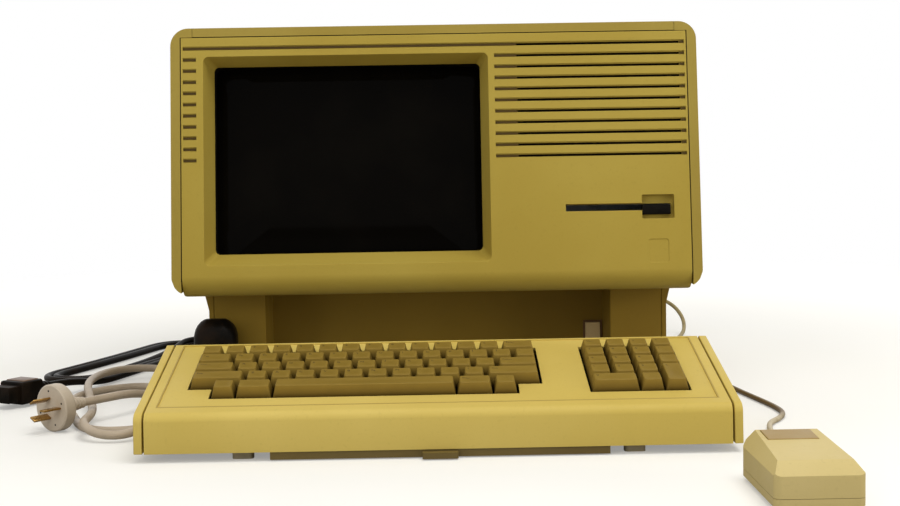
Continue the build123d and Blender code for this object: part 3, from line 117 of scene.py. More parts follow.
class Graph:
    """One material's nodes, added and linked by short calls."""

    def __init__(self, name: str) -> None:
        """Start a tree that holds a principled shader and its output.

        Args:
            name: The material's name.
        """
        self.material = bpy.data.materials.new(name)
        self.material.use_nodes = True
        self.nodes = self.material.node_tree.nodes
        self.links = self.material.node_tree.links
        self.nodes.clear()
        self.output = self.nodes.new("ShaderNodeOutputMaterial")
        self.shader = self.nodes.new("ShaderNodeBsdfPrincipled")
        self.links.new(self.shader.outputs["BSDF"], self.output.inputs["Surface"])
        self.place = self.nodes.new("ShaderNodeTexCoord").outputs["Object"]

    def stretched(self, x: float, y: float, z: float) -> bpy.types.NodeSocket:
        """Object coordinates multiplied by a scale for each axis.

        Args:
            x: Scale along x.
            y: Scale along y.
            z: Scale along z.

        Returns:
            The stretched coordinates.
        """
        mapping = self.nodes.new("ShaderNodeMapping")
        mapping.inputs["Scale"].default_value = (x, y, z)
        self.links.new(self.place, mapping.inputs["Vector"])
        return mapping.outputs["Vector"]

    def noise(
        self, scale: float, detail: float = 3.0, vector: bpy.types.NodeSocket | None = None
    ) -> bpy.types.NodeSocket:
        """Soft noise.

        Args:
            scale: Blotches per metre.
            detail: Octaves of finer noise.
            vector: Coordinates to read instead of the object's own.

        Returns:
            The noise's value, about 0.5 in the middle.
        """
        node = self.nodes.new("ShaderNodeTexNoise")
        node.inputs["Scale"].default_value = scale
        node.inputs["Detail"].default_value = detail
        self.links.new(vector or self.place, node.inputs["Vector"])
        return node.outputs["Fac"]

    def attribute(self, name: str) -> bpy.types.NodeSocket:
        """A number that the mesh stores at its points.

        Args:
            name: The attribute's name.

        Returns:
            Its value.
        """
        node = self.nodes.new("ShaderNodeAttribute")
        node.attribute_name = name
        return node.outputs["Fac"]

    def height(self) -> bpy.types.NodeSocket:
        """Height over the desk.

        Returns:
            The height in metres.
        """
        node = self.nodes.new("ShaderNodeSeparateXYZ")
        self.links.new(self.place, node.inputs[0])
        return node.outputs["Z"]

    def ramp(
        self, source: bpy.types.NodeSocket, low: float, high: float, first: float = 0.0, last: float = 1.0
    ) -> bpy.types.NodeSocket:
        """Stretch a range of values onto another and hold it there outside.

        Args:
            source: The value to stretch.
            low: Source value that gives first.
            high: Source value that gives last.
            first: Result at low.
            last: Result at high.

        Returns:
            The stretched value.
        """
        node = self.nodes.new("ShaderNodeMapRange")
        self.links.new(source, node.inputs["Value"])
        for name, value in (("From Min", low), ("From Max", high), ("To Min", first), ("To Max", last)):
            node.inputs[name].default_value = value
        return node.outputs["Result"]

    def mix(
        self,
        share: bpy.types.NodeSocket,
        first: bpy.types.NodeSocket | Colour,
        second: bpy.types.NodeSocket | Colour,
    ) -> bpy.types.NodeSocket:
        """Blend two colours.

        Args:
            share: How much of the second colour shows.
            first: A colour or a socket that gives one.
            second: The same.

        Returns:
            The blended colour.
        """
        node = self.nodes.new("ShaderNodeMix")
        node.data_type = "RGBA"
        self.links.new(share, node.inputs[0])
        for socket, value in ((node.inputs[6], first), (node.inputs[7], second)):
            if isinstance(value, tuple):
                socket.default_value = (*value, 1.0)
            else:
                self.links.new(value, socket)
        return node.outputs[2]

    def product(self, first: bpy.types.NodeSocket, second: bpy.types.NodeSocket) -> bpy.types.NodeSocket:
        """Multiply two values.

        Args:
            first: One value.
            second: The other.

        Returns:
            The product.
        """
        node = self.nodes.new("ShaderNodeMath")
        node.operation = "MULTIPLY"
        self.links.new(first, node.inputs[0])
        self.links.new(second, node.inputs[1])
        return node.outputs[0]

    def bump(self, relief: bpy.types.NodeSocket, depth: float) -> None:
        """Raise the surface by a value times a depth.

        Args:
            relief: The value, from 0 to 1.
            depth: The depth in metres.
        """
        node = self.nodes.new("ShaderNodeBump")
        node.inputs["Strength"].default_value = 1.0
        node.inputs["Distance"].default_value = depth
        self.links.new(relief, node.inputs["Height"])
        self.links.new(node.outputs["Normal"], self.shader.inputs["Normal"])

    def feed(self, name: str, value: bpy.types.NodeSocket | float | Colour) -> None:
        """Give the shader's socket a link, a number or a colour.

        Args:
            name: The socket's name.
            value: A socket to link, or the number or colour itself.
        """
        socket = self.shader.inputs[name]
        if isinstance(value, bpy.types.NodeSocket):
            self.links.new(value, socket)
        else:
            socket.default_value = (*value, 1.0) if isinstance(value, tuple) else value


@dataclass(frozen=True)
class MouldedPlastic:
    """Textured casing plastic that has yellowed in patches and holds some dust."""

    name: str
    colour: Colour
    aged: Colour
    roughness: float = 0.5
    grain: float = 0.00005
    dust: float = 0.16
    shine: float = 0.14

    def make(self) -> bpy.types.Material:
        """Patches 150 mm across, specks of 2 mm, a darker band within 30 mm of the desk, and a moulded grain
        under 1 mm.

        Returns:
            The material.
        """
        graph = Graph(self.name)
        patches = graph.ramp(graph.noise(scale=6.5, detail=4.0), low=0.36, high=0.66)
        body = graph.mix(patches, self.colour, self.aged)
        shade = tuple(0.55 * part for part in self.aged)
        specks = graph.ramp(
            graph.noise(scale=380.0, detail=4.0), low=0.58, high=0.80, first=0.0, last=self.dust
        )
        body = graph.mix(specks, body, shade)
        # Darker towards the bottom: within 30 mm of the desk, by up to 1.4 times the dust share.
        low = graph.ramp(graph.height(), low=0.0, high=0.03, first=1.4 * self.dust, last=0.0)
        graph.feed("Base Color", graph.mix(low, body, shade))
        graph.feed(
            "Roughness",
            graph.ramp(
                graph.noise(scale=34.0),
                low=0.3,
                high=0.7,
                first=self.roughness - 0.06,
                last=self.roughness + 0.06,
            ),
        )
        graph.feed("Specular IOR Level", self.shine)
        graph.bump(graph.noise(scale=1250.0, detail=2.0), self.grain)
        return graph.material


@dataclass(frozen=True)
class KeyPlastic:
    """Two-shot key plastic, polished by fingers in the dish, with painted shade on the sides towards the
    foot.
    """

    name: str
    colour: Colour
    worn: Colour
    painted_shade: Colour

    def make(self) -> bpy.types.Material:
        """The mesh's value at each point, 1 in the dish, smooths the plastic, and -1 at the foot darkens it
        as painted shade between the keys.

        Returns:
            The material.
        """
        graph = Graph(self.name)
        wear_and_shade = graph.attribute("wear_and_shade")
        blotches = graph.ramp(graph.noise(scale=60.0, detail=3.0), low=0.35, high=0.7, first=0.0, last=0.5)
        body = graph.mix(blotches, self.colour, tuple(0.82 * part for part in self.colour))
        # Painted shade: the sides darken towards the foot, where the gaps between the keys lie in shade.
        sides = graph.mix(graph.ramp(wear_and_shade, low=-1.0, high=-0.1, first=0.85, last=0.0), body, self.painted_shade)
        graph.feed(
            "Base Color",
            graph.mix(graph.ramp(wear_and_shade, low=0.0, high=1.0, first=0.0, last=0.75), sides, self.worn),
        )
        graph.feed("Roughness", graph.ramp(wear_and_shade, low=0.0, high=1.0, first=0.55, last=0.36))
        graph.feed("Specular IOR Level", 0.16)
        graph.bump(graph.noise(scale=1600.0, detail=2.0), depth=0.00004)
        return graph.material


@dataclass(frozen=True)
class TubeGlass:
    """Dark face glass of a picture tube under a thin film of dust."""

    name: str
    colour: Colour
    dust: Colour

    def make(self) -> bpy.types.Material:
        """Near-black and glossy, a little lighter where dust lies.

        Returns:
            The material.
        """
        graph = Graph(self.name)
        film = graph.ramp(graph.noise(scale=16.0, detail=5.0), low=0.45, high=0.8, first=0.0, last=0.5)
        graph.feed("Base Color", graph.mix(film, self.colour, self.dust))
        graph.feed("Roughness", graph.ramp(film, low=0.0, high=0.5, first=0.06, last=0.14))
        graph.feed("Specular IOR Level", 0.02)
        return graph.material


@dataclass(frozen=True)
class Coating:
    """A plain painted or dipped surface with soft blotches, such as mask paint or rubber."""

    name: str
    colour: Colour
    dusty: Colour
    roughness: float = 0.6
    scale: float = 90.0
    grain: float = 0.00006
    shine: float = 0.2

    def make(self) -> bpy.types.Material:
        """Blotches at the given scale and a fine grain.

        Returns:
            The material.
        """
        graph = Graph(self.name)
        dust = graph.ramp(graph.noise(self.scale, detail=4.0), low=0.42, high=0.78, first=0.0, last=0.7)
        graph.feed("Base Color", graph.mix(dust, self.colour, self.dusty))
        graph.feed(
            "Roughness",
            graph.ramp(dust, low=0.0, high=0.7, first=self.roughness, last=min(self.roughness + 0.2, 1.0)),
        )
        graph.feed("Specular IOR Level", self.shine)
        graph.bump(graph.noise(scale=1500.0, detail=2.0), self.grain)
        return graph.material


@dataclass(frozen=True)
class CordSkin:
    """Extruded cord jacket: a soft shine, scuffs along it and dust in patches."""

    name: str
    colour: Colour
    scuffed: Colour
    roughness: float = 0.38
    shine: float = 0.3

    def make(self) -> bpy.types.Material:
        """Patches 30 mm long and fine scuffs of 2 mm.

        Returns:
            The material.
        """
        graph = Graph(self.name)
        dust = graph.ramp(graph.noise(scale=32.0, detail=4.0), low=0.44, high=0.74, first=0.0, last=0.7)
        scuffs = graph.ramp(graph.noise(scale=420.0, detail=3.0), low=0.60, high=0.72, first=0.0, last=0.35)
        body = graph.mix(dust, self.colour, self.scuffed)
        graph.feed("Base Color", graph.mix(scuffs, body, self.scuffed))
        graph.feed(
            "Roughness", graph.ramp(dust, low=0.0, high=0.7, first=self.roughness, last=self.roughness + 0.16)
        )
        graph.feed("Specular IOR Level", self.shine)
        graph.bump(graph.noise(scale=240.0, detail=2.0), depth=0.0001)
        return graph.material


@dataclass(frozen=True)
class ShadedCord:
    """A thin cord that is pale at its two ends and darker along the desk as painted shade, with specks of
    dirt.
    """

    name: str
    clean: Colour
    dirt_and_shade: Colour
    rear: Colour
    shaded_along: tuple[float, float] = (-0.292, -0.264)
    paler_along: tuple[float, float] = (-0.10, 0.20)

    def make(self) -> bpy.types.Material:
        """The painted shade starts 200 mm behind the mouse and fades out behind the unit.

        Returns:
            The material.
        """
        graph = Graph(self.name)
        split = graph.nodes.new("ShaderNodeSeparateXYZ")
        graph.links.new(graph.place, split.inputs[0])
        # Painted shade along the stretch beside the keyboard; the same darker colour also tints the dirt
        # specks.
        shaded = graph.ramp(split.outputs["Y"], *self.shaded_along)
        behind = graph.ramp(split.outputs["Y"], *self.paler_along)
        spots = graph.ramp(graph.noise(scale=130.0, detail=3.0), low=0.55, high=0.75, first=0.0, last=0.4)
        body = graph.mix(behind, graph.mix(shaded, self.clean, self.dirt_and_shade), self.rear)
        graph.feed("Base Color", graph.mix(spots, body, self.dirt_and_shade))
        graph.feed("Roughness", graph.ramp(spots, low=0.0, high=0.4, first=0.38, last=0.5))
        graph.feed("Specular IOR Level", 0.25)
        graph.bump(graph.noise(scale=260.0, detail=2.0), depth=0.0001)
        return graph.material


class Brushed(Enum):
    """Which way a metal's brushing runs."""

    ACROSS = (3.0, 900.0, 900.0)
    ALONG = (900.0, 3.0, 900.0)
    NONE = (260.0, 260.0, 260.0)


@dataclass(frozen=True)
class BareMetal:
    """Bare or plated metal with brushing and a little tarnish."""

    name: str
    colour: Colour
    tarnish: Colour
    roughness: float = 0.34
    brushed: Brushed = Brushed.ACROSS

    def make(self) -> bpy.types.Material:
        """Fine lines drawn out along one axis, and tarnish in blotches.

        Returns:
            The material.
        """
        graph = Graph(self.name)
        lines = graph.noise(scale=1.0, detail=2.0, vector=graph.stretched(*self.brushed.value))
        spots = graph.ramp(graph.noise(scale=70.0, detail=4.0), low=0.46, high=0.72, first=0.0, last=0.8)
        graph.feed("Base Color", graph.mix(spots, self.colour, self.tarnish))
        graph.feed("Metallic", 1.0)
        graph.feed(
            "Roughness",
            graph.ramp(lines, low=0.3, high=0.7, first=self.roughness - 0.08, last=self.roughness + 0.12),
        )
        graph.bump(lines, depth=0.00002)
        return graph.material


@dataclass(frozen=True)
class CircuitBoard:
    """Green varnished board with copper tracks under the varnish and tinned pads."""

    name: str
    track_scale: float = 95.0
    track_gap: float = 0.012
    pad_scale: float = 400.0
    varnish: Colour = (0.035, 0.14, 0.06)
    track: Colour = (0.07, 0.26, 0.10)
    pad: Colour = (0.55, 0.53, 0.46)

    def make(self) -> bpy.types.Material:
        """Tracks from stepped bricks 3 mm apart, pads from cells 2.5 mm apart.

        Returns:
            The material.
        """
        graph = Graph(self.name)
        bricks = graph.nodes.new("ShaderNodeTexBrick")
        bricks.inputs["Scale"].default_value = self.track_scale
        bricks.inputs["Mortar Size"].default_value = self.track_gap
        slant = graph.nodes.new("ShaderNodeMapping")
        slant.inputs["Rotation"].default_value = (math.radians(37), math.radians(21), math.radians(45))
        graph.links.new(graph.place, slant.inputs["Vector"])
        graph.links.new(slant.outputs["Vector"], bricks.inputs["Vector"])
        cells = graph.nodes.new("ShaderNodeTexVoronoi")
        cells.inputs["Scale"].default_value = self.pad_scale
        cells.inputs["Randomness"].default_value = 0.15
        graph.links.new(graph.place, cells.inputs["Vector"])
        body = graph.mix(bricks.outputs["Fac"], self.varnish, self.track)
        pads = graph.ramp(cells.outputs["Distance"], low=0.16, high=0.20, first=1.0, last=0.0)
        graph.feed("Base Color", graph.mix(pads, body, self.pad))
        graph.feed("Roughness", graph.ramp(pads, low=0.0, high=1.0, first=0.32, last=0.45))
        graph.bump(bricks.outputs["Fac"], depth=0.00008)
        return graph.material


@dataclass(frozen=True)
class Winding:
    """Varnished copper wire wound in close turns."""

    name: str
    wire: Colour = (0.42, 0.15, 0.05)
    gap: Colour = (0.09, 0.03, 0.015)

    def make(self) -> bpy.types.Material:
        """Bands 1.6 mm apart with dark lines between the turns.

        Returns:
            The material.
        """
        graph = Graph(self.name)
        bands = graph.nodes.new("ShaderNodeTexWave")
        bands.bands_direction = "Y"
        bands.inputs["Scale"].default_value = 200.0
        bands.inputs["Distortion"].default_value = 0.4
        graph.links.new(graph.place, bands.inputs["Vector"])
        graph.feed(
            "Base Color", graph.mix(graph.ramp(bands.outputs["Fac"], low=0.1, high=0.5), self.gap, self.wire)
        )
        graph.feed("Metallic", 0.4)
        graph.feed("Roughness", graph.ramp(graph.noise(scale=300.0), low=0.3, high=0.7, first=0.25, last=0.4))
        graph.bump(bands.outputs["Fac"], depth=0.0003)
        return graph.material


FINISHES = (
    MouldedPlastic("shell_beige", (0.376, 0.283, 0.060), (0.335, 0.245, 0.046)),
    MouldedPlastic("bezel_beige", (0.44, 0.332, 0.063), (0.40, 0.292, 0.049), roughness=0.52),
    # Painted shade: the base's beige is darkened for the shade under the head and behind the keyboard.
    MouldedPlastic("base_beige", (0.31, 0.20, 0.029), (0.257, 0.162, 0.022), roughness=0.55),
    MouldedPlastic("keyboard_beige", (0.668, 0.513, 0.135), (0.61, 0.459, 0.105), roughness=0.46),
    # Painted shade: the card tray's tan is darkened for the keyboard's shadow over it.
    MouldedPlastic("tray_tan", (0.17, 0.12, 0.032), (0.13, 0.088, 0.02), roughness=0.42, shine=0.4),
    MouldedPlastic("mouse_beige", (0.645, 0.522, 0.228), (0.58, 0.458, 0.174), roughness=0.46),
    MouldedPlastic(
        "mouse_button_tan", (0.37, 0.248, 0.078), (0.315, 0.207, 0.061), roughness=0.38, shine=0.24
    ),
    MouldedPlastic("button_grey", (0.56, 0.45, 0.25), (0.48, 0.37, 0.19), roughness=0.42),
    # Painted light: the power button is a lighter beige than the base, brightened further to stand out in the
    # shade under the head.
    MouldedPlastic("power_button_painted_light", (0.86, 0.68, 0.38), (0.78, 0.60, 0.31), roughness=0.42),
    # The key plastic's third colour is painted shade for the sides near the foot.
    KeyPlastic("key_tan", (0.264, 0.173, 0.029), (0.212, 0.137, 0.021), painted_shade=(0.05, 0.028, 0.004)),
    TubeGlass("screen_glass", (0.0022, 0.0018, 0.0013), (0.006, 0.005, 0.0035)),
    Coating("tube_graphite", (0.03, 0.03, 0.032), (0.08, 0.078, 0.074), roughness=0.75),
    Coating("mask_black", (0.0045, 0.0038, 0.003), (0.012, 0.010, 0.007), roughness=0.5, shine=0.04),
    Coating("frame_brown", (0.15, 0.08, 0.035), (0.18, 0.11, 0.05), roughness=0.5),
    # Painted shade: the dark of the groove bottoms and of the joint round the bezel.
    Coating("groove_brown", (0.070, 0.044, 0.010), (0.10, 0.065, 0.018), roughness=0.6),
    Coating("joint_painted_shade", (0.012, 0.009, 0.005), (0.02, 0.015, 0.008), roughness=0.6, shine=0.05),
    # Painted shade: the dark line along the step of the keyboard's deck.
    Coating("deck_step_painted_shade", (0.42, 0.30, 0.075), (0.46, 0.33, 0.09), roughness=0.5),
    Coating("foot_rubber", (0.018, 0.017, 0.016), (0.06, 0.055, 0.045), roughness=0.7),
    Coating("foot_white", (0.46, 0.40, 0.27), (0.36, 0.30, 0.19), roughness=0.55),
    Coating("ball_rubber", (0.16, 0.16, 0.165), (0.24, 0.23, 0.21), roughness=0.55),
    Coating("card_white", (0.74, 0.71, 0.60), (0.66, 0.61, 0.47), roughness=0.5),
    Coating("legend_dark", (0.028, 0.020, 0.010), (0.05, 0.036, 0.02), roughness=0.5),
    CordSkin("lead_grey", (0.50, 0.415, 0.315), (0.38, 0.305, 0.215)),
    CordSkin("plug_grey", (0.58, 0.50, 0.395), (0.47, 0.39, 0.29), roughness=0.42),
    CordSkin("lead_black", (0.005, 0.004, 0.003), (0.032, 0.019, 0.011), roughness=0.34, shine=0.06),
    CordSkin("lead_brown", (0.14, 0.082, 0.05), (0.22, 0.145, 0.095), roughness=0.36),
    CordSkin("cord_tan", (0.42, 0.32, 0.15), (0.20, 0.135, 0.05), roughness=0.4),
    # The mouse cord's second colour is painted shade along the desk, and also tints its dirt specks.
    ShadedCord("cord_brown", (0.50, 0.42, 0.26), (0.150, 0.092, 0.028), (0.34, 0.27, 0.12)),
    BareMetal("sheet_metal", (0.56, 0.57, 0.57), (0.40, 0.39, 0.36), roughness=0.38),
    BareMetal("drive_metal", (0.50, 0.51, 0.52), (0.38, 0.38, 0.37), roughness=0.42, brushed=Brushed.NONE),
    BareMetal("screw_steel", (0.52, 0.51, 0.49), (0.36, 0.34, 0.31), roughness=0.30, brushed=Brushed.NONE),
    BareMetal("brass", (0.40, 0.24, 0.075), (0.20, 0.11, 0.035), roughness=0.30, brushed=Brushed.ALONG),
    CircuitBoard("board_green"),
    Winding("copper_coil"),
)
MATERIALS = {finish.name: finish.make() for finish in FINISHES}


# ---------------------------------------------------------------- shapes


def outline(width: float, height: float, corner: float, per_corner: int = 7) -> np.ndarray:
    """Points round a rectangle with quarter-circle corners.

    Each point is its corner's centre plus the radius times (cos a, sin a).

    Args:
        width: Full width.
        height: Full height.
        corner: Corner radius, held under half the shorter side.
        per_corner: Points on each corner.

    Returns:
        An array of 4 * per_corner points by x and y, anticlockwise.
    """
    corner = min(corner, 0.4999 * min(width, height))
    angles = np.linspace(0.0, math.pi / 2, per_corner)[None, :] + np.arange(4)[:, None] * math.pi / 2
    signs = np.array([(1, 1), (-1, 1), (-1, -1), (1, -1)], float)
    centres = signs * np.array([width / 2 - corner, height / 2 - corner])
    round_part = corner * np.stack([np.cos(angles), np.sin(angles)], axis=-1)
    return (centres[:, None, :] + round_part).reshape(-1, 2)


def circle(count: int) -> np.ndarray:
    """Points (cos a, sin a) of the unit circle, for a from 0 round to 2 pi."""
    angles = np.linspace(0.0, 2 * math.pi, count, endpoint=False)
    return np.stack([np.cos(angles), np.sin(angles)], axis=-1)


def at_height(flat: np.ndarray, z: float) -> np.ndarray:
    """A flat loop of points lifted to one height."""
    return np.concatenate([flat, np.full((len(flat), 1), z)], axis=1)


def slab(
    width: float,
    height: float,
    corner: float,
    low: float,
    high: float,
    edge: float = 0.0004,
    steps: int = 3,
    per_corner: int = 7,
) -> np.ndarray:
    """Rings of a rounded slab whose two rims are quarter circles.

    At angle t the ring is drawn in by edge * (1 - sin t), and lies
    edge * (1 - cos t) inside the rim's height.

    Args:
        width: Size along x.
        height: Size along y.
        corner: Radius of the upright corners.
        low: Lowest z.
        high: Highest z.
        edge: Radius of the two rims.
        steps: Rings on each rim.
        per_corner: Points on each corner.

    Returns:
        Rings by points by x, y and z.
    """
    turn = np.linspace(0.0, math.pi / 2, steps)
    inset = edge * (1 - np.sin(turn))
    rise = edge * (1 - np.cos(turn))
    insets = np.concatenate([inset, inset[::-1]])
    heights = np.concatenate([low + rise, high - rise[::-1]])
    return np.stack(
        [
            at_height(outline(width - 2 * d, height - 2 * d, max(corner - d, edge / 20), per_corner), z)
            for d, z in zip(insets, heights)
        ]
    )


def bar(
    width: float,
    height: float,
    corner: float,
    low: float,
    high: float,
    edge: float = 0.00005,
    per_corner: int = 3,
) -> np.ndarray:
    """Rings of a small slab, whose two rims are one bevel each.

    Args:
        width: Size along x.
        height: Size along y.
        corner: Radius of the upright corners.
        low: Lowest z.
        high: Highest z.
        edge: Size of the two bevels.
        per_corner: Points on each corner.

    Returns:
        Rings by points by x, y and z.
    """
    return slab(width, height, corner, low, high, edge, steps=2, per_corner=per_corner)


def turned(profile: Sequence[tuple[float, float]], count: int) -> np.ndarray:
    """Rings about the z axis: for each (radius, z), radius * (cos a, sin a) at z.

    Args:
        profile: Radii and heights from one end to the other.
        count: Points on each ring.

    Returns:
        Rings by points by x, y and z.
    """
    table = np.array(profile, float)
    rings = np.empty((len(table), count, 3))
    rings[..., :2] = np.maximum(table[:, 0], 1e-6)[:, None, None] * circle(count)[None]
    rings[..., 2] = table[:, 1][:, None]
    return rings


def placed(name: str, data: bpy.types.ID) -> bpy.types.Object:
    """Put a new object into the scene.

    Args:
        name: The object's name.
        data: Its mesh, curve, light or camera.

    Returns:
        The object.
    """
    thing = bpy.data.objects.new(name, data)
    bpy.context.scene.collection.objects.link(thing)
    return thing


class Mould:
    """Collects closed shells and makes one piece of them."""

    def __init__(self) -> None:
        """Start with no shells."""
        self.points: list[np.ndarray] = []
        self.faces: list[list[int]] = []
        self.finish: list[int] = []
        self.wear_and_shade: list[np.ndarray] = []
        self.count = 0

    def shell(
        self,
        rings: np.ndarray,
        seat: Seat | None = None,
        finish: int = 0,
        capped: bool = True,
        wear_and_shade: np.ndarray | None = None,
    ) -> None:
        """Join neighbouring rings by four-sided faces and close both ends.

        Args:
            rings: Rings by points by x, y and z.
            seat: Where the local points go, or None if they are in place.
            finish: Which of the piece's finishes covers the shell.
            capped: Whether the two ends are closed.
            wear_and_shade: One number for each point, for a finish that wears and for painted shade.
        """
        layers, around = rings.shape[:2]
        points = rings.reshape(-1, 3)
        points = seat.put(points) if seat else points
        ring, place = np.meshgrid(np.arange(layers - 1), np.arange(around), indexing="ij")
        following = (place + 1) % around
        quads = np.stack(
            [
                ring * around + place,
                ring * around + following,
                (ring + 1) * around + following,
                (ring + 1) * around + place,
            ],
            axis=-1,
        ).reshape(-1, 4)
        faces = (quads + self.count).tolist()
        if capped:
            faces.append(list(range(self.count + around - 1, self.count - 1, -1)))
            last = self.count + (layers - 1) * around
            faces.append(list(range(last, last + around)))
        self.points.append(points)
        self.faces += faces
        self.finish += [finish] * len(faces)
        self.wear_and_shade.append(np.zeros(len(points)) if wear_and_shade is None else wear_and_shade.reshape(-1))
        self.count += len(points)

    def flat(self, points: np.ndarray, faces: Sequence[Sequence[int]], finish: int = 0) -> None:
        """Add a ready mesh.

        Args:
            points: Its points, in place.
            faces: Its faces, as indices into its points.
            finish: Which of the piece's finishes covers it.
        """
        self.faces += [[index + self.count for index in face] for face in faces]
        self.finish += [finish] * len(faces)
        self.points.append(points)
        self.wear_and_shade.append(np.zeros(len(points)))
        self.count += len(points)

    def piece(
        self,
        name: str,
        body: str,
        finishes: Sequence[str],
        replaces: Sequence[str] = (),
        smooth: float = 38.0,
    ) -> bpy.types.Object:
        """Make the mesh, turn its faces outwards and let it ride on its body.

        Args:
            name: The piece's name.
            body: The CAD body that it moves with.
            finishes: Names of its materials, in the order of the shells' numbers.
            replaces: CAD nodes that it stands for.
            smooth: Edges sharper than this, in degrees, stay sharp.

        Returns:
            The new object.
        """
        mesh = bpy.data.meshes.new(name)
        mesh.from_pydata(np.concatenate(self.points), [], self.faces)
        for finish in finishes:
            mesh.materials.append(MATERIALS[finish])
        mesh.polygons.foreach_set("material_index", np.array(self.finish, np.int32))
        wear_and_shade = mesh.attributes.new("wear_and_shade", "FLOAT", "POINT")
        wear_and_shade.data.foreach_set("value", np.concatenate(self.wear_and_shade).astype(np.float32))
        work = bmesh.new()
        work.from_mesh(mesh)
        bmesh.ops.remove_doubles(work, verts=work.verts, dist=MERGE)
        bmesh.ops.recalc_face_normals(work, faces=work.faces)
        work.to_mesh(mesh)
        work.free()
        mesh.shade_smooth()
        mesh.set_sharp_from_angle(angle=math.radians(smooth))
        thing = placed(name, mesh)
        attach(thing, body)
        if replaces:
            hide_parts(*replaces)
        log.info("%s: %d faces, on %s", name, len(mesh.polygons), body)
        return thing


# ---------------------------------------------------------------- casing


@dataclass(frozen=True)
class EasedShell:
    """A moulded shell of the CAD model with its sharp edges eased."""

    node: str
    body: str
    finish: str
    radius: float = 0.0006
    slot: str = ""

    def build(self) -> bpy.types.Object:
        """Copy the node's mesh, merge it and round its sharp edges.

        Returns:
            The new object.
        """
        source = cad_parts[self.node]
        mesh = source.data.copy()
        mesh.name = self.node + "_eased"
        work = bmesh.new()
        work.from_mesh(mesh)
        bmesh.ops.remove_doubles(work, verts=work.verts, dist=MERGE)
        bmesh.ops.dissolve_limit(
            work, angle_limit=FLAT_WITHIN, verts=work.verts, edges=work.edges, use_dissolve_boundaries=False
        )
        work.to_mesh(mesh)
        work.free()
        mesh.materials.clear()
        mesh.materials.append(MATERIALS[self.finish])
        mesh.polygons.foreach_set("material_index", np.zeros(len(mesh.polygons), np.int32))
        mesh.shade_smooth()
        mesh.set_sharp_from_angle(angle=EASED_FROM)
        thing = placed(self.node + "_eased", mesh)
        bevel = thing.modifiers.new("eased_edges", "BEVEL")
        bevel.width = self.radius
        bevel.segments = 2
        bevel.limit_method = "ANGLE"
        bevel.angle_limit = EASED_FROM
        bevel.use_clamp_overlap = True
        shading = thing.modifiers.new("flat_shading", "WEIGHTED_NORMAL")
        shading.keep_sharp = True
        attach(thing, self.body)
        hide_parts(self.node)
        log.info("%s: edges eased by %.1f mm", self.node, self.radius / MM)
        return thing


EASED_SHELLS = (
    EasedShell("left_side_panel", "main_unit", "shell_beige", radius=0.0012),
    EasedShell("right_side_panel", "main_unit", "shell_beige", radius=0.0012),
    EasedShell("top_cover", "top_cover", "shell_beige", radius=0.0008),
    EasedShell("front_bezel", "front_bezel", "bezel_beige", radius=0.0004),
    EasedShell("rear_cover", "rear_cover", "shell_beige", radius=0.0005),
    EasedShell("base_housing", "main_unit", "base_beige", radius=0.0008),
    EasedShell("base_side_panels", "main_unit", "base_beige", radius=0.0008),
    EasedShell("keyboard_top_case", "keyboard", "keyboard_beige", radius=0.0005),
    EasedShell("keyboard_end_caps", "keyboard", "keyboard_beige", radius=0.0008),
    EasedShell("mouse_top_shell", "mouse", "mouse_beige", radius=0.0014),
    EasedShell("mouse_button", "mouse_button", "mouse_button_tan", radius=0.0005),
    EasedShell("power_button", "power_button", "power_button_painted_light", radius=0.0006, slot="button_grey"),
    EasedShell("power_button_frame", "main_unit", "frame_brown", radius=0.0003, slot="mask_black"),
)

PLAIN_NODES = {
    "head_floor": "base_beige",
    "chassis_frame": "sheet_metal",
    "thumbscrew_left": "screw_steel",
    "thumbscrew_right": "screw_steel",
    "screen_mask": "mask_black",
    "deflection_yoke": "copper_coil",
    "video_board": "board_green",
    "disk_drive": "drive_metal",
    "drive_spindle": "drive_metal",
    "head_carriage": "drive_metal",
    "drive_bracket": "sheet_metal",
    "unit_feet": "foot_rubber",
    "power_supply": "sheet_metal",
    "main_board": "board_green",
    "plug_in_boards": "board_green",
    "rear_connectors": "sheet_metal",
    "reset_button": "button_grey",
    "keyboard_bottom_case": "base_beige",
    "keyboard_feet": "foot_white",
    "card_tray": "tray_tan",
    "reference_cards": "card_white",
    "key_switch_plate": "mask_black",
    "mouse_bottom_shell": "mouse_beige",
    "mouse_ball": "ball_rubber",
}


def dress_nodes() -> None:
    """Give each CAD node that stays in view its own finish."""
    for node, finish in PLAIN_NODES.items():
        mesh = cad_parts[node].data
        mesh.materials.clear()
        mesh.materials.append(MATERIALS[finish])
    log.info("%d CAD nodes dressed", len(PLAIN_NODES))


# ---------------------------------------------------------------- picture tube


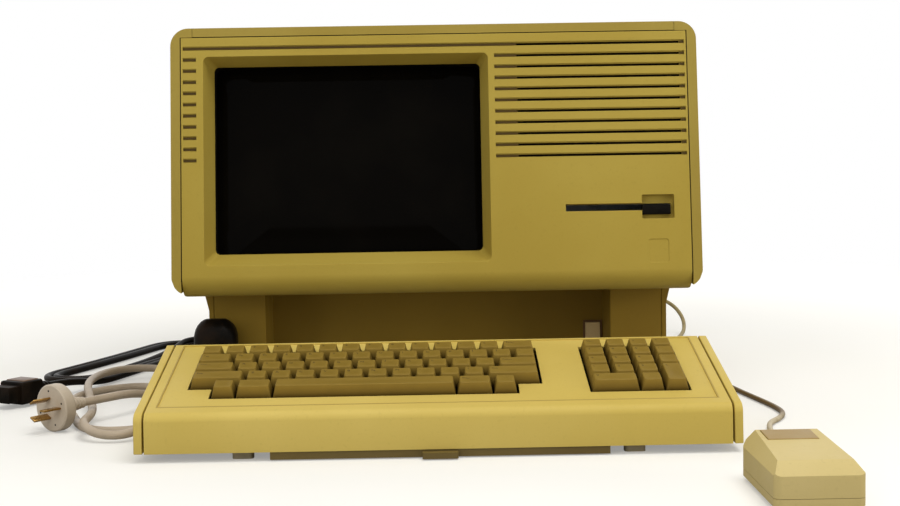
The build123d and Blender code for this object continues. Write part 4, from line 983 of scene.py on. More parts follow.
@dataclass
class PictureTube:
    """The tube: bulged face glass, funnel and neck, on an axis square to the face."""

    middle_u: float = -0.0798
    middle_v: float = 0.123675
    width: float = 0.266
    height: float = 0.19015
    corner: float = 0.020
    depth: float = 0.027
    bulge: float = 0.900
    band: float = 0.032
    funnel_middle: float = 0.095
    funnel_end: float = 0.205
    neck: float = 0.0145
    neck_end: float = 0.292

    def face_rings(self, count: int = 14) -> np.ndarray:
        """The glass: the outline shrunk by q from 1 to 0, sunk by bulge - sqrt(bulge^2 - r^2).

        Args:
            count: Number of rings.

        Returns:
            Rings by points, from the rim to the middle.
        """
        shares = np.linspace(1.0, 0.0, count) ** 0.8
        shares[-1] = 5e-6
        loop = outline(self.width, self.height, self.corner, per_corner=10)
        flat = shares[:, None, None] * loop[None]
        reach = np.sum(flat**2, axis=-1)
        sunk = self.bulge - np.sqrt(self.bulge**2 - reach)
        return np.concatenate([flat, (-self.depth - sunk)[..., None]], axis=-1)

    def body_rings(self) -> np.ndarray:
        """Behind the glass: the band, then a funnel that shrinks to the round neck.

        Returns:
            Rings by points, from the glass to the end of the neck.
        """
        stations = (
            (self.width, self.height, self.corner, self.depth + self.band),
            (self.width - 0.006, self.height - 0.006, self.corner, self.depth + self.band + 0.0005),
            (0.84 * self.width, 0.86 * self.height, 0.030, 0.078),
            (0.66 * self.width, 0.70 * self.height, 0.040, self.funnel_middle + 0.003),
            (0.42 * self.width, 0.47 * self.height, 0.040, 0.150),
            (0.045, 0.0449, 0.0224, self.funnel_end - 0.002),
            (2 * self.neck, 2 * self.neck, self.neck, self.funnel_end + 0.006),
            (2 * self.neck, 2 * self.neck, self.neck, self.neck_end - 0.002),
            (1.7 * self.neck, 1.7 * self.neck, 0.85 * self.neck, self.neck_end),
            (1e-6, 1e-6, 5e-7, self.neck_end),
        )
        return np.stack([at_height(outline(w, h, c, per_corner=10), -d) for w, h, c, d in stations])

    def build(self) -> None:
        """One piece, with glass on its face and graphite behind."""
        seat = FACE.moved(self.middle_u, self.middle_v)
        mould = Mould()
        glass = self.face_rings()[::-1]
        mould.shell(glass, seat, finish=0, capped=False)
        mould.shell(np.concatenate([glass[-1:], self.body_rings()]), seat, finish=1, capped=False)
        mould.piece(
            "picture_tube_glass",
            "main_unit",
            ("screen_glass", "tube_graphite"),
            replaces=("picture_tube",),
            smooth=60.0,
        )


# ---------------------------------------------------------------- keyboard


@dataclass(frozen=True)
class KeySpot:
    """One key: left edge, row, width and height in key pitches, and its mark."""

    left: float
    row: int
    width: float
    height: float
    mark: str


def keys_in_row(start: float, row: int, widths: Sequence[float], marks: Sequence[str]) -> list[KeySpot]:
    """Keys side by side.

    Args:
        start: Left edge of the first key, in pitches.
        row: Row from the rear.
        widths: Width of each key, in pitches.
        marks: What each key is marked with.

    Returns:
        The keys.
    """
    lefts = np.concatenate([[start], start + np.cumsum(widths)[:-1]])
    return [
        KeySpot(left=float(left), row=row, width=width, height=1.0, mark=mark)
        for left, width, mark in zip(lefts, widths, marks)
    ]


@dataclass
class KeyCaps:
    """All key caps: drawn-in sides, a rounded rim and a dish along each key."""

    pitch: float = 0.01905
    left: float = -0.1971
    gap: float = 0.0008
    sink: float = 0.003
    rise: float = 0.0076
    draw: float = 0.0022
    rim: float = 0.0008
    dish_radius: float = 0.038
    dish_depth: float = 0.00085
    back_lean: float = 0.0006
    foot_inset: float = 0.0006
    foot_corner: float = 0.001
    top_corner: float = 0.0019
    side_stations: tuple[float, ...] = (0.0, 0.04, 0.5, 0.88)
    dish_stations: tuple[float, ...] = (0.82, 0.6, 0.36, 0.14, 0.0005)
    letter: float = 0.0042
    word: float = 0.0028
    ink: float = 0.00004
    mark_left: float = 0.0022
    mark_down: float = 0.0049
    post: float = 0.005
    post_low: float = 0.0107

    def groups(self) -> dict[str, list[KeySpot]]:
        """Sort the keys by the CAD node that they replace.

        Returns:
            The keys of each node.
        """
        first = keys_in_row(
            start=0, row=0, widths=[1] * 13 + [1.5], marks=list("~1234567890-=") + ["Backspace"]
        )
        second = keys_in_row(start=0, row=1, widths=[1.5] + [1] * 13, marks=["Tab"] + list("QWERTYUIOP[]\\"))
        third = keys_in_row(
            start=0,
            row=2,
            widths=[1.75] + [1] * 11 + [1.75],
            marks=["Caps Lock"] + list("ASDFGHJKL;'") + ["Return"],
        )
        fourth = keys_in_row(
            start=0,
            row=3,
            widths=[2.25] + [1] * 10 + [2.25],
            marks=["Shift"] + list("ZXCVBNM,./") + ["Shift"],
        )
        fifth = keys_in_row(start=1, row=4, widths=[1, 1.5, 7.5, 1.5, 1], marks=["", "", "", "Enter", ""])
        pad: list[KeySpot] = []
        for row, marks in enumerate((["Clear", "-", "+", "*"], list("789/"), list("456,"))):
            pad += keys_in_row(start=16.5, row=row, widths=[1] * 4, marks=marks)
        pad += keys_in_row(start=16.5, row=3, widths=[1] * 3, marks=list("123"))
        pad += keys_in_row(start=18.5, row=4, widths=[1], marks=["."])
        return {
            "keys_row_1": first[:-1],
            "backspace_key": first[-1:],
            "tab_key": second[:1],
            "keys_row_2": second[1:],
            "caps_lock_key": third[:1],
            "keys_row_3": third[1:-1],
            "return_key": third[-1:],
            "left_shift_key": fourth[:1],
            "keys_row_4": fourth[1:-1],
            "right_shift_key": fourth[-1:],
            "command_keys": fifth[:2] + fifth[3:],
            "space_bar": fifth[2:3],
            "number_pad_keys": pad,
            "pad_enter_key": [KeySpot(left=19.5, row=3, width=1, height=2, mark="Enter")],
            "pad_zero_key": [KeySpot(left=16.5, row=4, width=2, height=1, mark="0")],
        }

    def seat_of(self, key: KeySpot) -> Seat:
        """The middle of a key on the deck.

        Args:
            key: The key.

        Returns:
            A seat with its x and y along the key's sides.
        """
        return DECK.moved(
            self.left + (key.left + key.width / 2) * self.pitch, -(key.row + key.height / 2) * self.pitch
        )

    def top(self, x: np.ndarray, width: float) -> np.ndarray:
        """Height of the key's top: a cylinder's sag under the rim, flatter on a wide key.

        The height is rise - sag + r - sqrt(r^2 - x^2), with r grown on wide keys
        so that the dish is about dish_depth deep at its middle.

        Args:
            x: Places across the key.
            width: Width of the key's top.

        Returns:
            The height at each place.
        """
        half = width / 2
        radius = max(self.dish_radius, half**2 / (2 * self.dish_depth))
        deep = radius - math.sqrt(radius**2 - half**2)
        return self.rise - deep + radius - np.sqrt(radius**2 - np.minimum(np.abs(x), half) ** 2)

    def cap_rings(self, width: float, height: float) -> tuple[np.ndarray, np.ndarray]:
        """Rings of one cap about its own middle, from its skirt to the middle of its dish.

        The sides lean in evenly with height. The rim turns over on a quarter
        circle, and inside it the outline shrinks towards the middle while the
        height follows the dish.

        Args:
            width: Width in pitches.
            height: Height in pitches.

        Returns:
            The rings, and each point's value for the finish: below 0 on the sides, for painted shade, up to 1
            in the dish, for wear.
        """
        across = width * self.pitch - self.gap
        along = height * self.pitch - self.gap
        top_across = across - 2 * self.draw
        top_along = along - 2 * self.draw + self.back_lean
        lean = np.array([0.0, self.back_lean])
        rings = []
        wear_and_shade = []
        for share in self.side_stations:
            foot = self.foot_inset if share == 0.0 else 0.0
            z = -self.sink + share * (self.rise - self.rim + self.sink)
            loop = outline(
                across + share * (top_across - across) - foot,
                along + share * (top_along - along) - foot,
                self.foot_corner + share * (self.top_corner - self.foot_corner),
            )
            rings.append(at_height(loop + share * lean, z))
            # Painted shade on the sides, darkest at the foot.
            wear_and_shade.append(share - 1.0)
        for turn in np.linspace(0.0, math.pi / 2, 4):
            inset = self.rim * (1 - math.cos(turn))
            corner = self.top_corner - 0.5 * inset
            loop = outline(top_across - 2 * inset, top_along - 2 * inset, corner) + lean
            height_here = self.top(loop[:, 0], top_across) - self.rim * (1 - math.sin(turn))
            rings.append(np.concatenate([loop, height_here[:, None]], axis=1))
            wear_and_shade.append(0.15 * math.sin(turn))
        corner = self.top_corner - 0.5 * self.rim
        inner = outline(top_across - 2 * self.rim, top_along - 2 * self.rim, corner)
        for share in self.dish_stations:
            loop = share * inner + lean
            height_here = self.top(loop[:, 0], top_across)
            rings.append(np.concatenate([loop, height_here[:, None]], axis=1))
            wear_and_shade.append(1.0 - 0.8 * share)
        stack = np.stack(rings)
        return stack, np.repeat(np.array(wear_and_shade), stack.shape[1])

    def mark(self, mould: Mould, key: KeySpot, seat: Seat) -> None:
        """Print the key's mark near the left rear corner of its top, following the dish.

        Args:
            mould: Where the mark goes.
            key: The key.
            seat: The key's middle.
        """
        if not key.mark:
            return
        text = bpy.data.curves.new("mark", "FONT")
        text.body = key.mark
        text.size = self.letter if len(key.mark) == 1 else self.word
        text.resolution_u = 2
        text.extrude = self.ink
        holder = bpy.data.objects.new("mark", text)
        mesh = bpy.data.meshes.new_from_object(holder)
        count = len(mesh.vertices)
        if count:
            flat = np.empty(count * 3)
            mesh.vertices.foreach_get("co", flat)
            points = flat.reshape(-1, 3)
            points[:, :2] -= points[:, :2].min(axis=0)
            top_across = key.width * self.pitch - self.gap - 2 * self.draw
            top_along = key.height * self.pitch - self.gap - 2 * self.draw + self.back_lean
            points[:, 0] += self.mark_left - top_across / 2
            points[:, 1] += top_along / 2 - self.mark_down
            points[:, 2] += self.top(points[:, 0], top_across)
            mould.flat(seat.put(points), [list(face.vertices) for face in mesh.polygons], 1)
        bpy.data.objects.remove(holder)
        bpy.data.curves.remove(text)
        bpy.data.meshes.remove(mesh)

    def build(self) -> None:
        """One piece for each group of keys that presses together."""
        shapes: dict[tuple[float, float], tuple[np.ndarray, np.ndarray]] = {}
        post = bar(
            self.post, self.post, corner=0.0004, low=-self.post_low, high=-self.sink + 0.001, edge=0.0002
        )
        for node, keys in self.groups().items():
            mould = Mould()
            for key in keys:
                size = (key.width, key.height)
                if size not in shapes:
                    shapes[size] = self.cap_rings(*size)
                seat = self.seat_of(key)
                rings, wear_and_shade = shapes[size]
                mould.shell(rings, seat, wear_and_shade=wear_and_shade)
                mould.shell(post, seat)
                self.mark(mould, key, seat)
            mould.piece(
                node + "_caps", node, ("key_tan", "legend_dark"), replaces=(node,), smooth=50.0
            )


# ---------------------------------------------------------------- cords


def nurbs(name: str, points: Sequence[Point], radius: float) -> bpy.types.Object:
    """A curve object of one open spline, smooth through the middles of its runs.

    Args:
        name: The curve's name.
        points: The route's points in metres.
        radius: Half the cord's diameter, or 0 for the bare line.

    Returns:
        The object, linked to the scene.
    """
    curve = bpy.data.curves.new(name, "CURVE")
    curve.dimensions = "3D"
    spline = curve.splines.new("NURBS")
    spline.points.add(len(points) - 1)
    table = np.concatenate([np.array(points), np.ones((len(points), 1))], axis=1)
    spline.points.foreach_set("co", table.reshape(-1))
    spline.order_u = 3
    spline.use_endpoint_u = True
    curve.resolution_u = 10
    curve.bevel_depth = radius
    curve.bevel_resolution = 5
    curve.use_fill_caps = True
    return placed(name, curve)


def metres(points: Sequence[Point]) -> list[Point]:
    """Millimetres to metres."""
    return [(x * MM, y * MM, z * MM) for x, y, z in points]


@dataclass
class MouseCord:
    """The thin cord from the mouse, beside the unit and into the rear."""

    diameter: float = 0.0046
    route: tuple[Point, ...] = (
        (236.75, -480, 14),
        (236.75, -462, 14),
        (240, -440, 8),
        (246, -415, 3.2),
        (254, -387, 2.5),
        (261, -357, 2.6),
        (265, -327, 2.5),
        (271, -303, 2.6),
        (283, -286, 2.5),
        (293, -262, 2.6),
        (292, -230, 2.5),
        (285, -188, 2.6),
        (277, -138, 2.5),
        (270, -85, 2.6),
        (265, -28, 2.5),
        (262, 30, 2.6),
        (261, 88, 2.5),
        (264, 142, 2.6),
        (274, 188, 2.5),
        (289, 225, 3.5),
        (299, 250, 9),
        (301, 272, 21),
        (292, 291, 35),
        (270, 303, 45),
        (240, 305, 51),
        (210, 296, 55),
        (185, 272, 58),
        (185, 241.3, 58),
    )

    def build(self) -> None:
        """A tube on the route's smooth line, which bends between the mouse and the unit."""
        points = metres(self.route)
        line = nurbs("mouse_cord_line", points, 0.0)
        path_mesh = bpy.data.meshes.new_from_object(line)
        path = np.empty(len(path_mesh.vertices) * 3)
        path_mesh.vertices.foreach_get("co", path)
        bpy.data.objects.remove(line)
        tube = nurbs("mouse_cord_tube", points, self.diameter / 2)
        mesh = bpy.data.meshes.new_from_object(tube)
        bpy.data.objects.remove(tube)
        mesh.name = "mouse_flex"
        mesh.materials.clear()
        mesh.materials.append(MATERIALS["cord_brown"])
        cord = placed("mouse_flex", mesh)
        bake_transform(cord)
        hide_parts("mouse_cord")
        log.info("mouse cord laid")


@dataclass
class GreyLead:
    """The thick pale mains lead: two loose loops, then back to the inlet."""

    diameter: float = 0.0074
    route: tuple[Point, ...] = (
        (-305.6, -247.8, 20.5),
        (-291.6, -229.3, 20.5),
        (-275, -203, 20),
        (-261, -171, 13),
        (-253, -138, 6),
        (-254, -108, 4),
        (-267, -82, 4),
        (-293, -68, 4.1),
        (-321, -81, 4),
        (-339, -108, 4.1),
        (-343, -144, 4),
        (-335, -186, 4.1),
        (-318, -230, 4),
        (-303, -272, 4.1),
        (-284, -294, 4),
        (-257, -295, 4.1),
        (-239.5, -276, 4),
        (-238.5, -238, 4.1),
        (-241.5, -188, 4),
        (-239.5, -138, 4.1),
        (-241, -88, 4),
        (-246, -42, 5),
        (-261, -9, 8),
        (-289, 5, 10.5),
        (-318, -5, 12.5),
        (-336, -34, 12.8),
        (-340, -75, 12.8),
        (-333, -120, 12.8),
        (-320, -166, 12.9),
        (-306, -212, 9),
        (-297, -258, 11),
        (-293.5, -307, 13.2),
        (-277.5, -323.5, 7),
        (-254.6, -323.5, 6),
        (-238.6, -307, 10.5),
        (-238.5, -272, 12.8),
        (-239.5, -234, 13),
        (-241.5, -188, 12.8),
        (-239.5, -140, 13),
        (-240, -92, 12.8),
        (-238.8, -46, 12.6),
        (-240.5, 2, 6),
        (-245, 52, 4),
        (-246.5, 106, 4.1),
        (-246, 160, 4),
        (-245, 212, 4.5),
        (-236, 254, 8),
        (-213, 284, 20),
        (-184, 300, 37),
        (-158, 296, 52),
        (-150, 270, 58),
        (-150, 245.3, 58),
    )

    def build(self) -> None:
        """One smooth spline on the route."""
        points = metres(self.route)
        lead = nurbs("grey_mains_lead", points, self.diameter / 2)
        lead.data.materials.append(MATERIALS["lead_grey"])
        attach(lead, "main_unit")
        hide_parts("grey_lead")
        log.info("grey mains lead laid")


@dataclass
class BlackLead:
    """The black mains lead: folded in five runs, its plug standing by the left pillar."""

    diameter: float = 0.007
    start: tuple[float, float] = (-380.0, -30.0)
    along: tuple[float, float] = (0.311, 0.950)
    pitch: float = 8.8
    inner: float = 22.5
    near: float = 38.0
    far: float = 250.0
    waist: float = 3.0
    tail: tuple[Point, ...] = (
        (-205, -153, 30),
        (-205, -153, 16),
        (-211, -153, 6.5),
        (-223, -151, 4),
        (-229.5, -134, 4.1),
        (-229, -104, 4),
        (-226.5, -55, 4.1),
        (-228.5, 0, 4),
        (-227, 55, 4.1),
        (-229, 108, 5),
        (-232, 150, 10),
        (-240, 184, 13.5),
        (-257, 206, 13.5),
        (-280, 210, 13.5),
        (-296, 192, 13),
        (-301, 162, 8),
    )

    def spot(self, along: float, across: float, z: float = 4.0) -> Point:
        """A point of the fold: start + along * way + across * (way turned to the right).

        Args:
            along: Millimetres down the fold.
            across: Millimetres to the right of it.
            z: Height.

        Returns:
            The point in millimetres.
        """
        x = self.start[0] + self.along[0] * along + self.along[1] * across
        y = self.start[1] + self.along[1] * along - self.along[0] * across
        return (x, y, z)

    def lane(self, lane: float, towards_far: bool, skip: int = 0) -> list[Point]:
        """Points down one lane, drawn in a little at the middle of the fold.

        Args:
            lane: How far to the right of the fold's line the lane lies.
            towards_far: Whether it runs away from the near end.
            skip: How many of its three points to leave out.

        Returns:
            The points in millimetres.
        """
        side = 1 if lane > 0 else -1
        points = []
        for share, drawn in zip((0.17, 0.5, 0.83)[skip:], (0.5, 1.0, 0.5)[skip:]):
            along = share if towards_far else 1 - share
            points.append(
                self.spot(self.near + along * (self.far - self.near), lane - side * drawn * self.waist)
            )
        return points

    def turn(self, lane_from: float, lane_to: float, at_far: bool) -> list[Point]:
        """Four points round one end, an eighth of a turn from one to the next.

        Args:
            lane_from: The lane that it leaves.
            lane_to: The lane that it enters.
            at_far: Whether it turns at the far end.

        Returns:
            The points in millimetres.
        """
        radius = abs(lane_from - lane_to) / 2
        middle = (lane_from + lane_to) / 2
        way = 1 if lane_from > lane_to else -1
        end = 1 if at_far else -1
        centre = self.far if at_far else self.near
        half = math.tan(math.pi / 8)
        return [
            self.spot(centre + end * along * radius, middle + way * across * radius)
            for along, across in ((half, 1), (1, half), (1, -half), (half, -1))
        ]

    def route(self) -> list[Point]:
        """The plug's tail, the five lanes and the way to the connector.

        Returns:
            The points in millimetres.
        """
        lanes = [
            self.inner,
            -(self.inner + self.pitch / 2),
            self.inner + self.pitch,
            -(self.inner + 1.5 * self.pitch),
            self.inner + 2 * self.pitch,
        ]
        middle = self.near + 0.5 * (self.far - self.near)
        points = [*self.tail, self.spot(middle, lanes[0] - self.waist, 4.5)] + self.lane(lanes[0], False, 2)
        for number, (lane_from, lane_to) in enumerate(zip(lanes, lanes[1:])):
            at_far = number % 2 == 1
            points += self.turn(lane_from, lane_to, at_far)
            points += self.lane(lane_to, not at_far)
        return points + [self.spot(2, lanes[-1] + 1.5), (-357, -86, 13.5), (-372, -112, 13.5)]

    def build(self) -> None:
        """One smooth spline on the route."""
        points = metres(self.route())
        lead = nurbs("black_mains_lead", points, self.diameter / 2)
        lead.data.materials.append(MATERIALS["lead_black"])
        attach(lead, "main_unit")
        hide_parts("black_lead")
        log.info("black mains lead laid")


# ---------------------------------------------------------------- plugs


@dataclass(frozen=True)
class Block:
    """One rounded block of a housing, between two heights on the plug's axis."""

    width: float
    height: float
    corner: float
    low: float
    high: float
    edge: float
    steps: int = 4
    per_corner: int = 7

    def rings(self) -> np.ndarray:
        """The block's outline at each height, with both rims rounded as a slab's.

        Returns:
            Rings by points by x, y and z.
        """
        ends = (self.low, self.high)
        return slab(self.width, self.height, self.corner, *ends, self.edge, self.steps, self.per_corner)


@dataclass(frozen=True)
class Relief:
    """A tapered strain relief on the plug's axis, cut by shallow round grooves."""

    radius: float
    end_radius: float
    length: float
    ribs: int
    base: float = 0.0
    groove: float = 0.0007

    def rings(self) -> np.ndarray:
        """A radius that runs evenly from one end's to the other's, less each groove's sine wave.

        Returns:
            Rings about the z axis.
        """
        share = np.linspace(0.0, 1.0, 6 * self.ribs + 1)
        taper = self.radius + share * (self.end_radius - self.radius)
        wave = np.sin(share * self.ribs * 2 * math.pi - math.pi / 2) - 0.2
        grooves = self.groove * np.clip(wave, 0.0, 1.0)
        return turned(list(zip(taper - grooves, self.base + share * self.length)), count=24)


@dataclass
class GreyPlug:
    """The round three-blade plug and the inlet plug of the grey lead."""

    face: Point = (-0.326, -0.275, 0.0205)
    heading: tuple[float, float] = (0.6, 0.8)
    radius: float = 0.020
    rim: float = 0.0085
    back_inset: float = 0.006
    back_rise: float = 0.0042
    neck: Profile = ((0.0095, 0.0136), (0.0082, 0.0150), (0.0074, 0.0200), (0.0068, 0.0204))
    relief: Relief = Relief(radius=0.0066, end_radius=0.0047, length=0.0134, ribs=4, base=0.0200)
    blade: Block = Block(
        0.0016, 0.0064, corner=0.0002, low=-0.017, high=0.0004, edge=0.0005, steps=3, per_corner=3
    )
    blades: tuple[Point, ...] = ((-0.003, 0.0072, -60.0), (-0.003, -0.0072, -120.0), (0.010, 0.001, 90.0))
    screw: Profile = ((0.0, -0.00006), (0.0009, -0.00006), (0.0009, 0.0003), (0.0, 0.0003))
    screw_circle: float = 0.0145
    screw_angles: tuple[float, ...] = (20.0, 100.0, 200.0, 290.0)
    inlet: Point = (-0.150, 0.1953, 0.058)
    inlet_blocks: tuple[Block, ...] = (
        Block(0.028, 0.022, corner=0.004, low=0.0003, high=0.0225, edge=0.0008),
        Block(0.0245, 0.0185, corner=0.005, low=0.0220, high=0.0300, edge=0.0016),
    )
    inlet_relief: Relief = Relief(radius=0.0072, end_radius=0.0048, length=0.0200, ribs=5, base=0.0300)
    grip_x: float = 0.0135
    grips: tuple[float, ...] = (0.007, 0.011, 0.015)

    def mains_plug(self) -> None:
        """A round housing turned from a profile, whose back is a quarter ellipse, with blades and screws."""
        hx, hy = self.heading
        seat = Seat(self.face, across=(hy, -hx, 0.0), along=(0.0, 0.0, 1.0), out=(hx, hy, 0.0))
        mould = Mould()
        profile = [(0.0, 0.0), (self.radius - 0.0012, 0.0), (self.radius, 0.0010), (self.radius, self.rim)]
        for angle in np.linspace(0.0, math.pi / 2, 6)[1:]:
            inset = self.back_inset * (1 - math.cos(angle))
            profile.append((self.radius - inset, self.rim + self.back_rise * math.sin(angle)))
        mould.shell(turned([*profile, *self.neck], count=40), seat)
        mould.shell(self.relief.rings(), seat)
        blade = self.blade.rings()
        for x, y, angle in self.blades:
            c, s = math.cos(math.radians(angle)), math.sin(math.radians(angle))
            spun = blade.copy()
            spun[..., 0] = c * blade[..., 0] - s * blade[..., 1] + x
            spun[..., 1] = s * blade[..., 0] + c * blade[..., 1] + y
            mould.shell(spun, seat, finish=1)
        for angle in self.screw_angles:
            x = self.screw_circle * math.cos(math.radians(angle))
            y = self.screw_circle * math.sin(math.radians(angle))
            mould.shell(turned(self.screw, count=12), seat.moved(x, y), finish=2)
        mould.piece(
            "grey_plug",
            "main_unit",
            ("plug_grey", "brass", "mask_black"),
            replaces=("grey_lead_ends",),
        )

    def inlet_plug(self) -> None:
        """The plug in the unit's inlet: a stepped housing with three grip ridges on each side."""
        back = rear_seat(self.inlet)
        mould = Mould()
        for form in (*self.inlet_blocks, self.inlet_relief):
            mould.shell(form.rings(), back)
        for x in (-self.grip_x, self.grip_x):
            for z in self.grips:
                mould.shell(
                    bar(width=0.0012, height=0.014, corner=0.0005, low=z, high=z + 0.0016, edge=0.0004),
                    back.moved(x, 0.0),
                )
        mould.piece("grey_inlet_plug", "main_unit", ("plug_grey",))

    def build(self) -> None:
        """Both ends stand where the CAD's ends are."""
        self.mains_plug()
        self.inlet_plug()


@dataclass
class BlackPlug:
    """The domed two-pin plug and the appliance connector of the black lead."""

    plug: tuple[float, float] = (-0.205, -0.153)
    width: float = 0.040
    depth: float = 0.030
    corner: float = 0.012
    low: float = 0.040
    high: float = 0.079
    dome: Profile = (
        (0.0, 0.0014),
        (0.06, 0.0),
        (0.30, 0.0),
        (0.62, 0.0003),
        (0.76, 0.0016),
        (0.86, 0.0036),
        (0.94, 0.0064),
        (0.985, 0.0092),
        (1.0, 0.0108),
    )
    tail: Relief = Relief(radius=0.0052, end_radius=0.0078, length=0.0098, ribs=3, base=0.0300)
    pin: Profile = ((0.0024, 0.0), (0.0024, 0.0042), (0.0018, 0.0050))
    pin_x: float = 0.0095
    pin_y: float = 0.0145
    pin_z: float = 0.060
    ridge_y: float = 0.0148
    ridges: tuple[float, ...] = (0.050, 0.054, 0.058)
    connector: Point = (-0.372, -0.112, 0.0135)
    connector_relief: Relief = Relief(radius=0.0044, end_radius=0.0078, length=0.0200, ribs=4)
    connector_blocks: tuple[Block, ...] = (
        Block(0.029, 0.021, corner=0.003, low=0.020, high=0.046, edge=0.0012),
        Block(0.023, 0.015, corner=0.0015, low=0.0455, high=0.060, edge=0.0005, steps=3),
    )
    plate: Block = Block(
        0.0225, 0.0022, corner=0.0008, low=0.023, high=0.041, edge=0.0006, steps=3, per_corner=4
    )
    plate_y: float = 0.0102
    contact: Block = Block(
        0.0018, 0.0050, corner=0.0002, low=0.0597, high=0.06005, edge=0.00002, steps=2, per_corner=3
    )
    contacts: Profile = ((-0.007, -0.002), (0.007, -0.002), (0.0, 0.0032))

    def domed_plug(self) -> None:
        """A rounded block that narrows to a dome, with two pins and three finger ridges.

        At each share of its height the outline is drawn in by an inset on every side.
        """
        seat = Seat((*self.plug, 0.0))
        mould = Mould()
        rings = []
        for share, inset in self.dome:
            corner = max(self.corner - 0.6 * inset, 0.002)
            loop = outline(self.width - 2 * inset, self.depth - 2 * inset, corner, per_corner=8)
            rings.append(at_height(loop, self.low + (self.high - self.low) * share))
        mould.shell(np.stack(rings), seat)
        mould.shell(self.tail.rings(), seat)
        x, y = self.plug
        for side in (-self.pin_x, self.pin_x):
            pin = Seat((x + side, y + self.pin_y, self.pin_z), along=(0.0, 0.0, -1.0), out=(0.0, 1.0, 0.0))
            mould.shell(turned(self.pin, count=16), pin, finish=1)
        for z in self.ridges:
            ridge = Seat((x, y - self.ridge_y, z), along=(0.0, 0.0, 1.0), out=(0.0, -1.0, 0.0))
            mould.shell(
                bar(0.018, 0.0016, corner=0.0007, low=-0.0004, high=0.0004, edge=0.0003, per_corner=4), ridge
            )
        mould.piece(
            "black_plug", "main_unit", ("lead_black", "brass"), replaces=("black_lead_ends",)
        )

    def appliance_connector(self) -> None:
        """A stepped housing with a worn plate and three contact slots."""
        back = Seat(self.connector, across=(0.866, -0.5, 0.0), along=(0.0, 0.0, 1.0), out=(-0.5, -0.866, 0.0))
        mould = Mould()
        for form in (self.connector_relief, *self.connector_blocks):
            mould.shell(form.rings(), back)
        mould.shell(self.plate.rings(), back.moved(0.0, self.plate_y), finish=1)
        for x, y in self.contacts:
            mould.shell(self.contact.rings(), back.moved(x, y), finish=2)
        mould.piece(
            "black_connector", "main_unit", ("lead_black", "lead_brown", "mask_black")
        )

    def build(self) -> None:
        """The plug stands upright, the connector lies on the desk."""
        self.domed_plug()
        self.appliance_connector()


@dataclass
class MousePlug:
    """The flat plug of the mouse cord, in its socket at the rear."""

    jack: Point = (0.185, 0.1953, 0.058)
    flange: Block = Block(0.034, 0.015, corner=0.003, low=0.0003, high=0.0045, edge=0.0005, steps=3)
    hood: Block = Block(0.030, 0.0140, corner=0.004, low=0.0040, high=0.0320, edge=0.0014)
    ribs: tuple[Block, ...] = tuple(
        Block(0.0318, 0.0100, corner=0.003, low=low, high=low + 0.0018, edge=0.0006, steps=3)
        for low in (0.014, 0.018, 0.022, 0.026)
    )
    relief: Relief = Relief(radius=0.0044, end_radius=0.0031, length=0.0140, ribs=4, base=0.0320)

    def build(self) -> None:
        """A flange and a rounded hood with finger ribs and a short strain relief."""
        seat = rear_seat(self.jack)
        mould = Mould()
        for form in (self.flange, self.hood, *self.ribs, self.relief):
            mould.shell(form.rings(), seat)
        mould.piece("mouse_flex_plug", "main_unit", ("cord_tan",), replaces=("mouse_cord_plug",))


# ---------------------------------------------------------------- small parts


@dataclass
class MouseRoller:
    """The roller behind the mouse ball, with its shaft and the slotted wheel on the shaft's end."""

    centre: Point = (0.23675, -0.5057, 0.0113)
    roll: tuple[float, float] = (0.0030, 0.0060)
    shaft: tuple[float, float] = (0.00085, 0.0105)
    wheel_from: float = 0.0104
    wheel_to: float = 0.0116
    wheel_radius: float = 0.0070
    slot_foot: float = 0.0054
    slots: int = 24
    edge: float = 0.0003

    def wheel(self) -> np.ndarray:
        """Two rings of the slotted wheel: radius (cos a, sin a), the radius in steps of two angles.

        Returns:
            Rings by points, each slot as two points out and two points in.
        """
        radii = np.tile([self.wheel_radius, self.wheel_radius, self.slot_foot, self.slot_foot], self.slots)
        flat = radii[:, None] * circle(4 * self.slots)
        return np.stack([at_height(flat, self.wheel_from), at_height(flat, self.wheel_to)])

    def build(self) -> None:
        """A rubber roll on a steel shaft that clears its bearings by 0.15 mm, and the wheel."""
        seat = Seat(self.centre, across=(0.0, 1.0, 0.0), along=(0.0, 0.0, 1.0), out=(1.0, 0.0, 0.0))
        mould = Mould()
        radius, half = self.roll
        inner = radius - self.edge
        end = half - self.edge
        mould.shell(turned([(inner, -half), (radius, -end), (radius, end), (inner, half)], count=24), seat)
        radius, half = self.shaft
        mould.shell(turned([(radius, -half), (radius, half)], count=16), seat, finish=1)
        mould.shell(self.wheel(), seat, finish=2)
        mould.piece(
            "mouse_roller_detail",
            "mouse_roller",
            ("ball_rubber", "screw_steel", "mask_black"),
            replaces=("mouse_roller",),
            smooth=24.0,
        )


@dataclass(frozen=True)
class FaceSheet:
    """A thin dark sheet parallel to the face, between two depths under it."""

    name: str
    left: float
    right: float
    low: float
    high: float
    front: float
    rear: float
    corner: float
    edge: float
    steps: int

    def build(self) -> None:
        """A slab on the face's own axes."""
        seat = FACE.moved((self.left + self.right) / 2, (self.low + self.high) / 2)
        width = self.right - self.left
        height = self.high - self.low
        mould = Mould()
        mould.shell(
            slab(
                width, height, self.corner, low=-self.rear, high=-self.front, edge=self.edge, steps=self.steps
            ),
            seat,
        )
        mould.piece(self.name, "front_bezel", ("mask_black",))


# The catch in the finger notch beside the disk slot, and a dark sheet behind the louvres as painted shade for
# the unlit inside.
FACE_SHEETS = (
    FaceSheet(
        "drive_catch",
        left=0.1850,
        right=0.2105,
        low=0.0660,
        high=0.0748,
        front=0.0015,
        rear=0.0062,
        corner=0.0006,
        edge=0.0003,
        steps=3,
    ),
    FaceSheet(
        "louvre_painted_shade",
        left=0.056,
        right=0.222,
        low=0.116,
        high=0.227,
        front=0.0042,
        rear=0.0052,
        corner=0.002,
        edge=0.0002,
        steps=2,
    ),
)


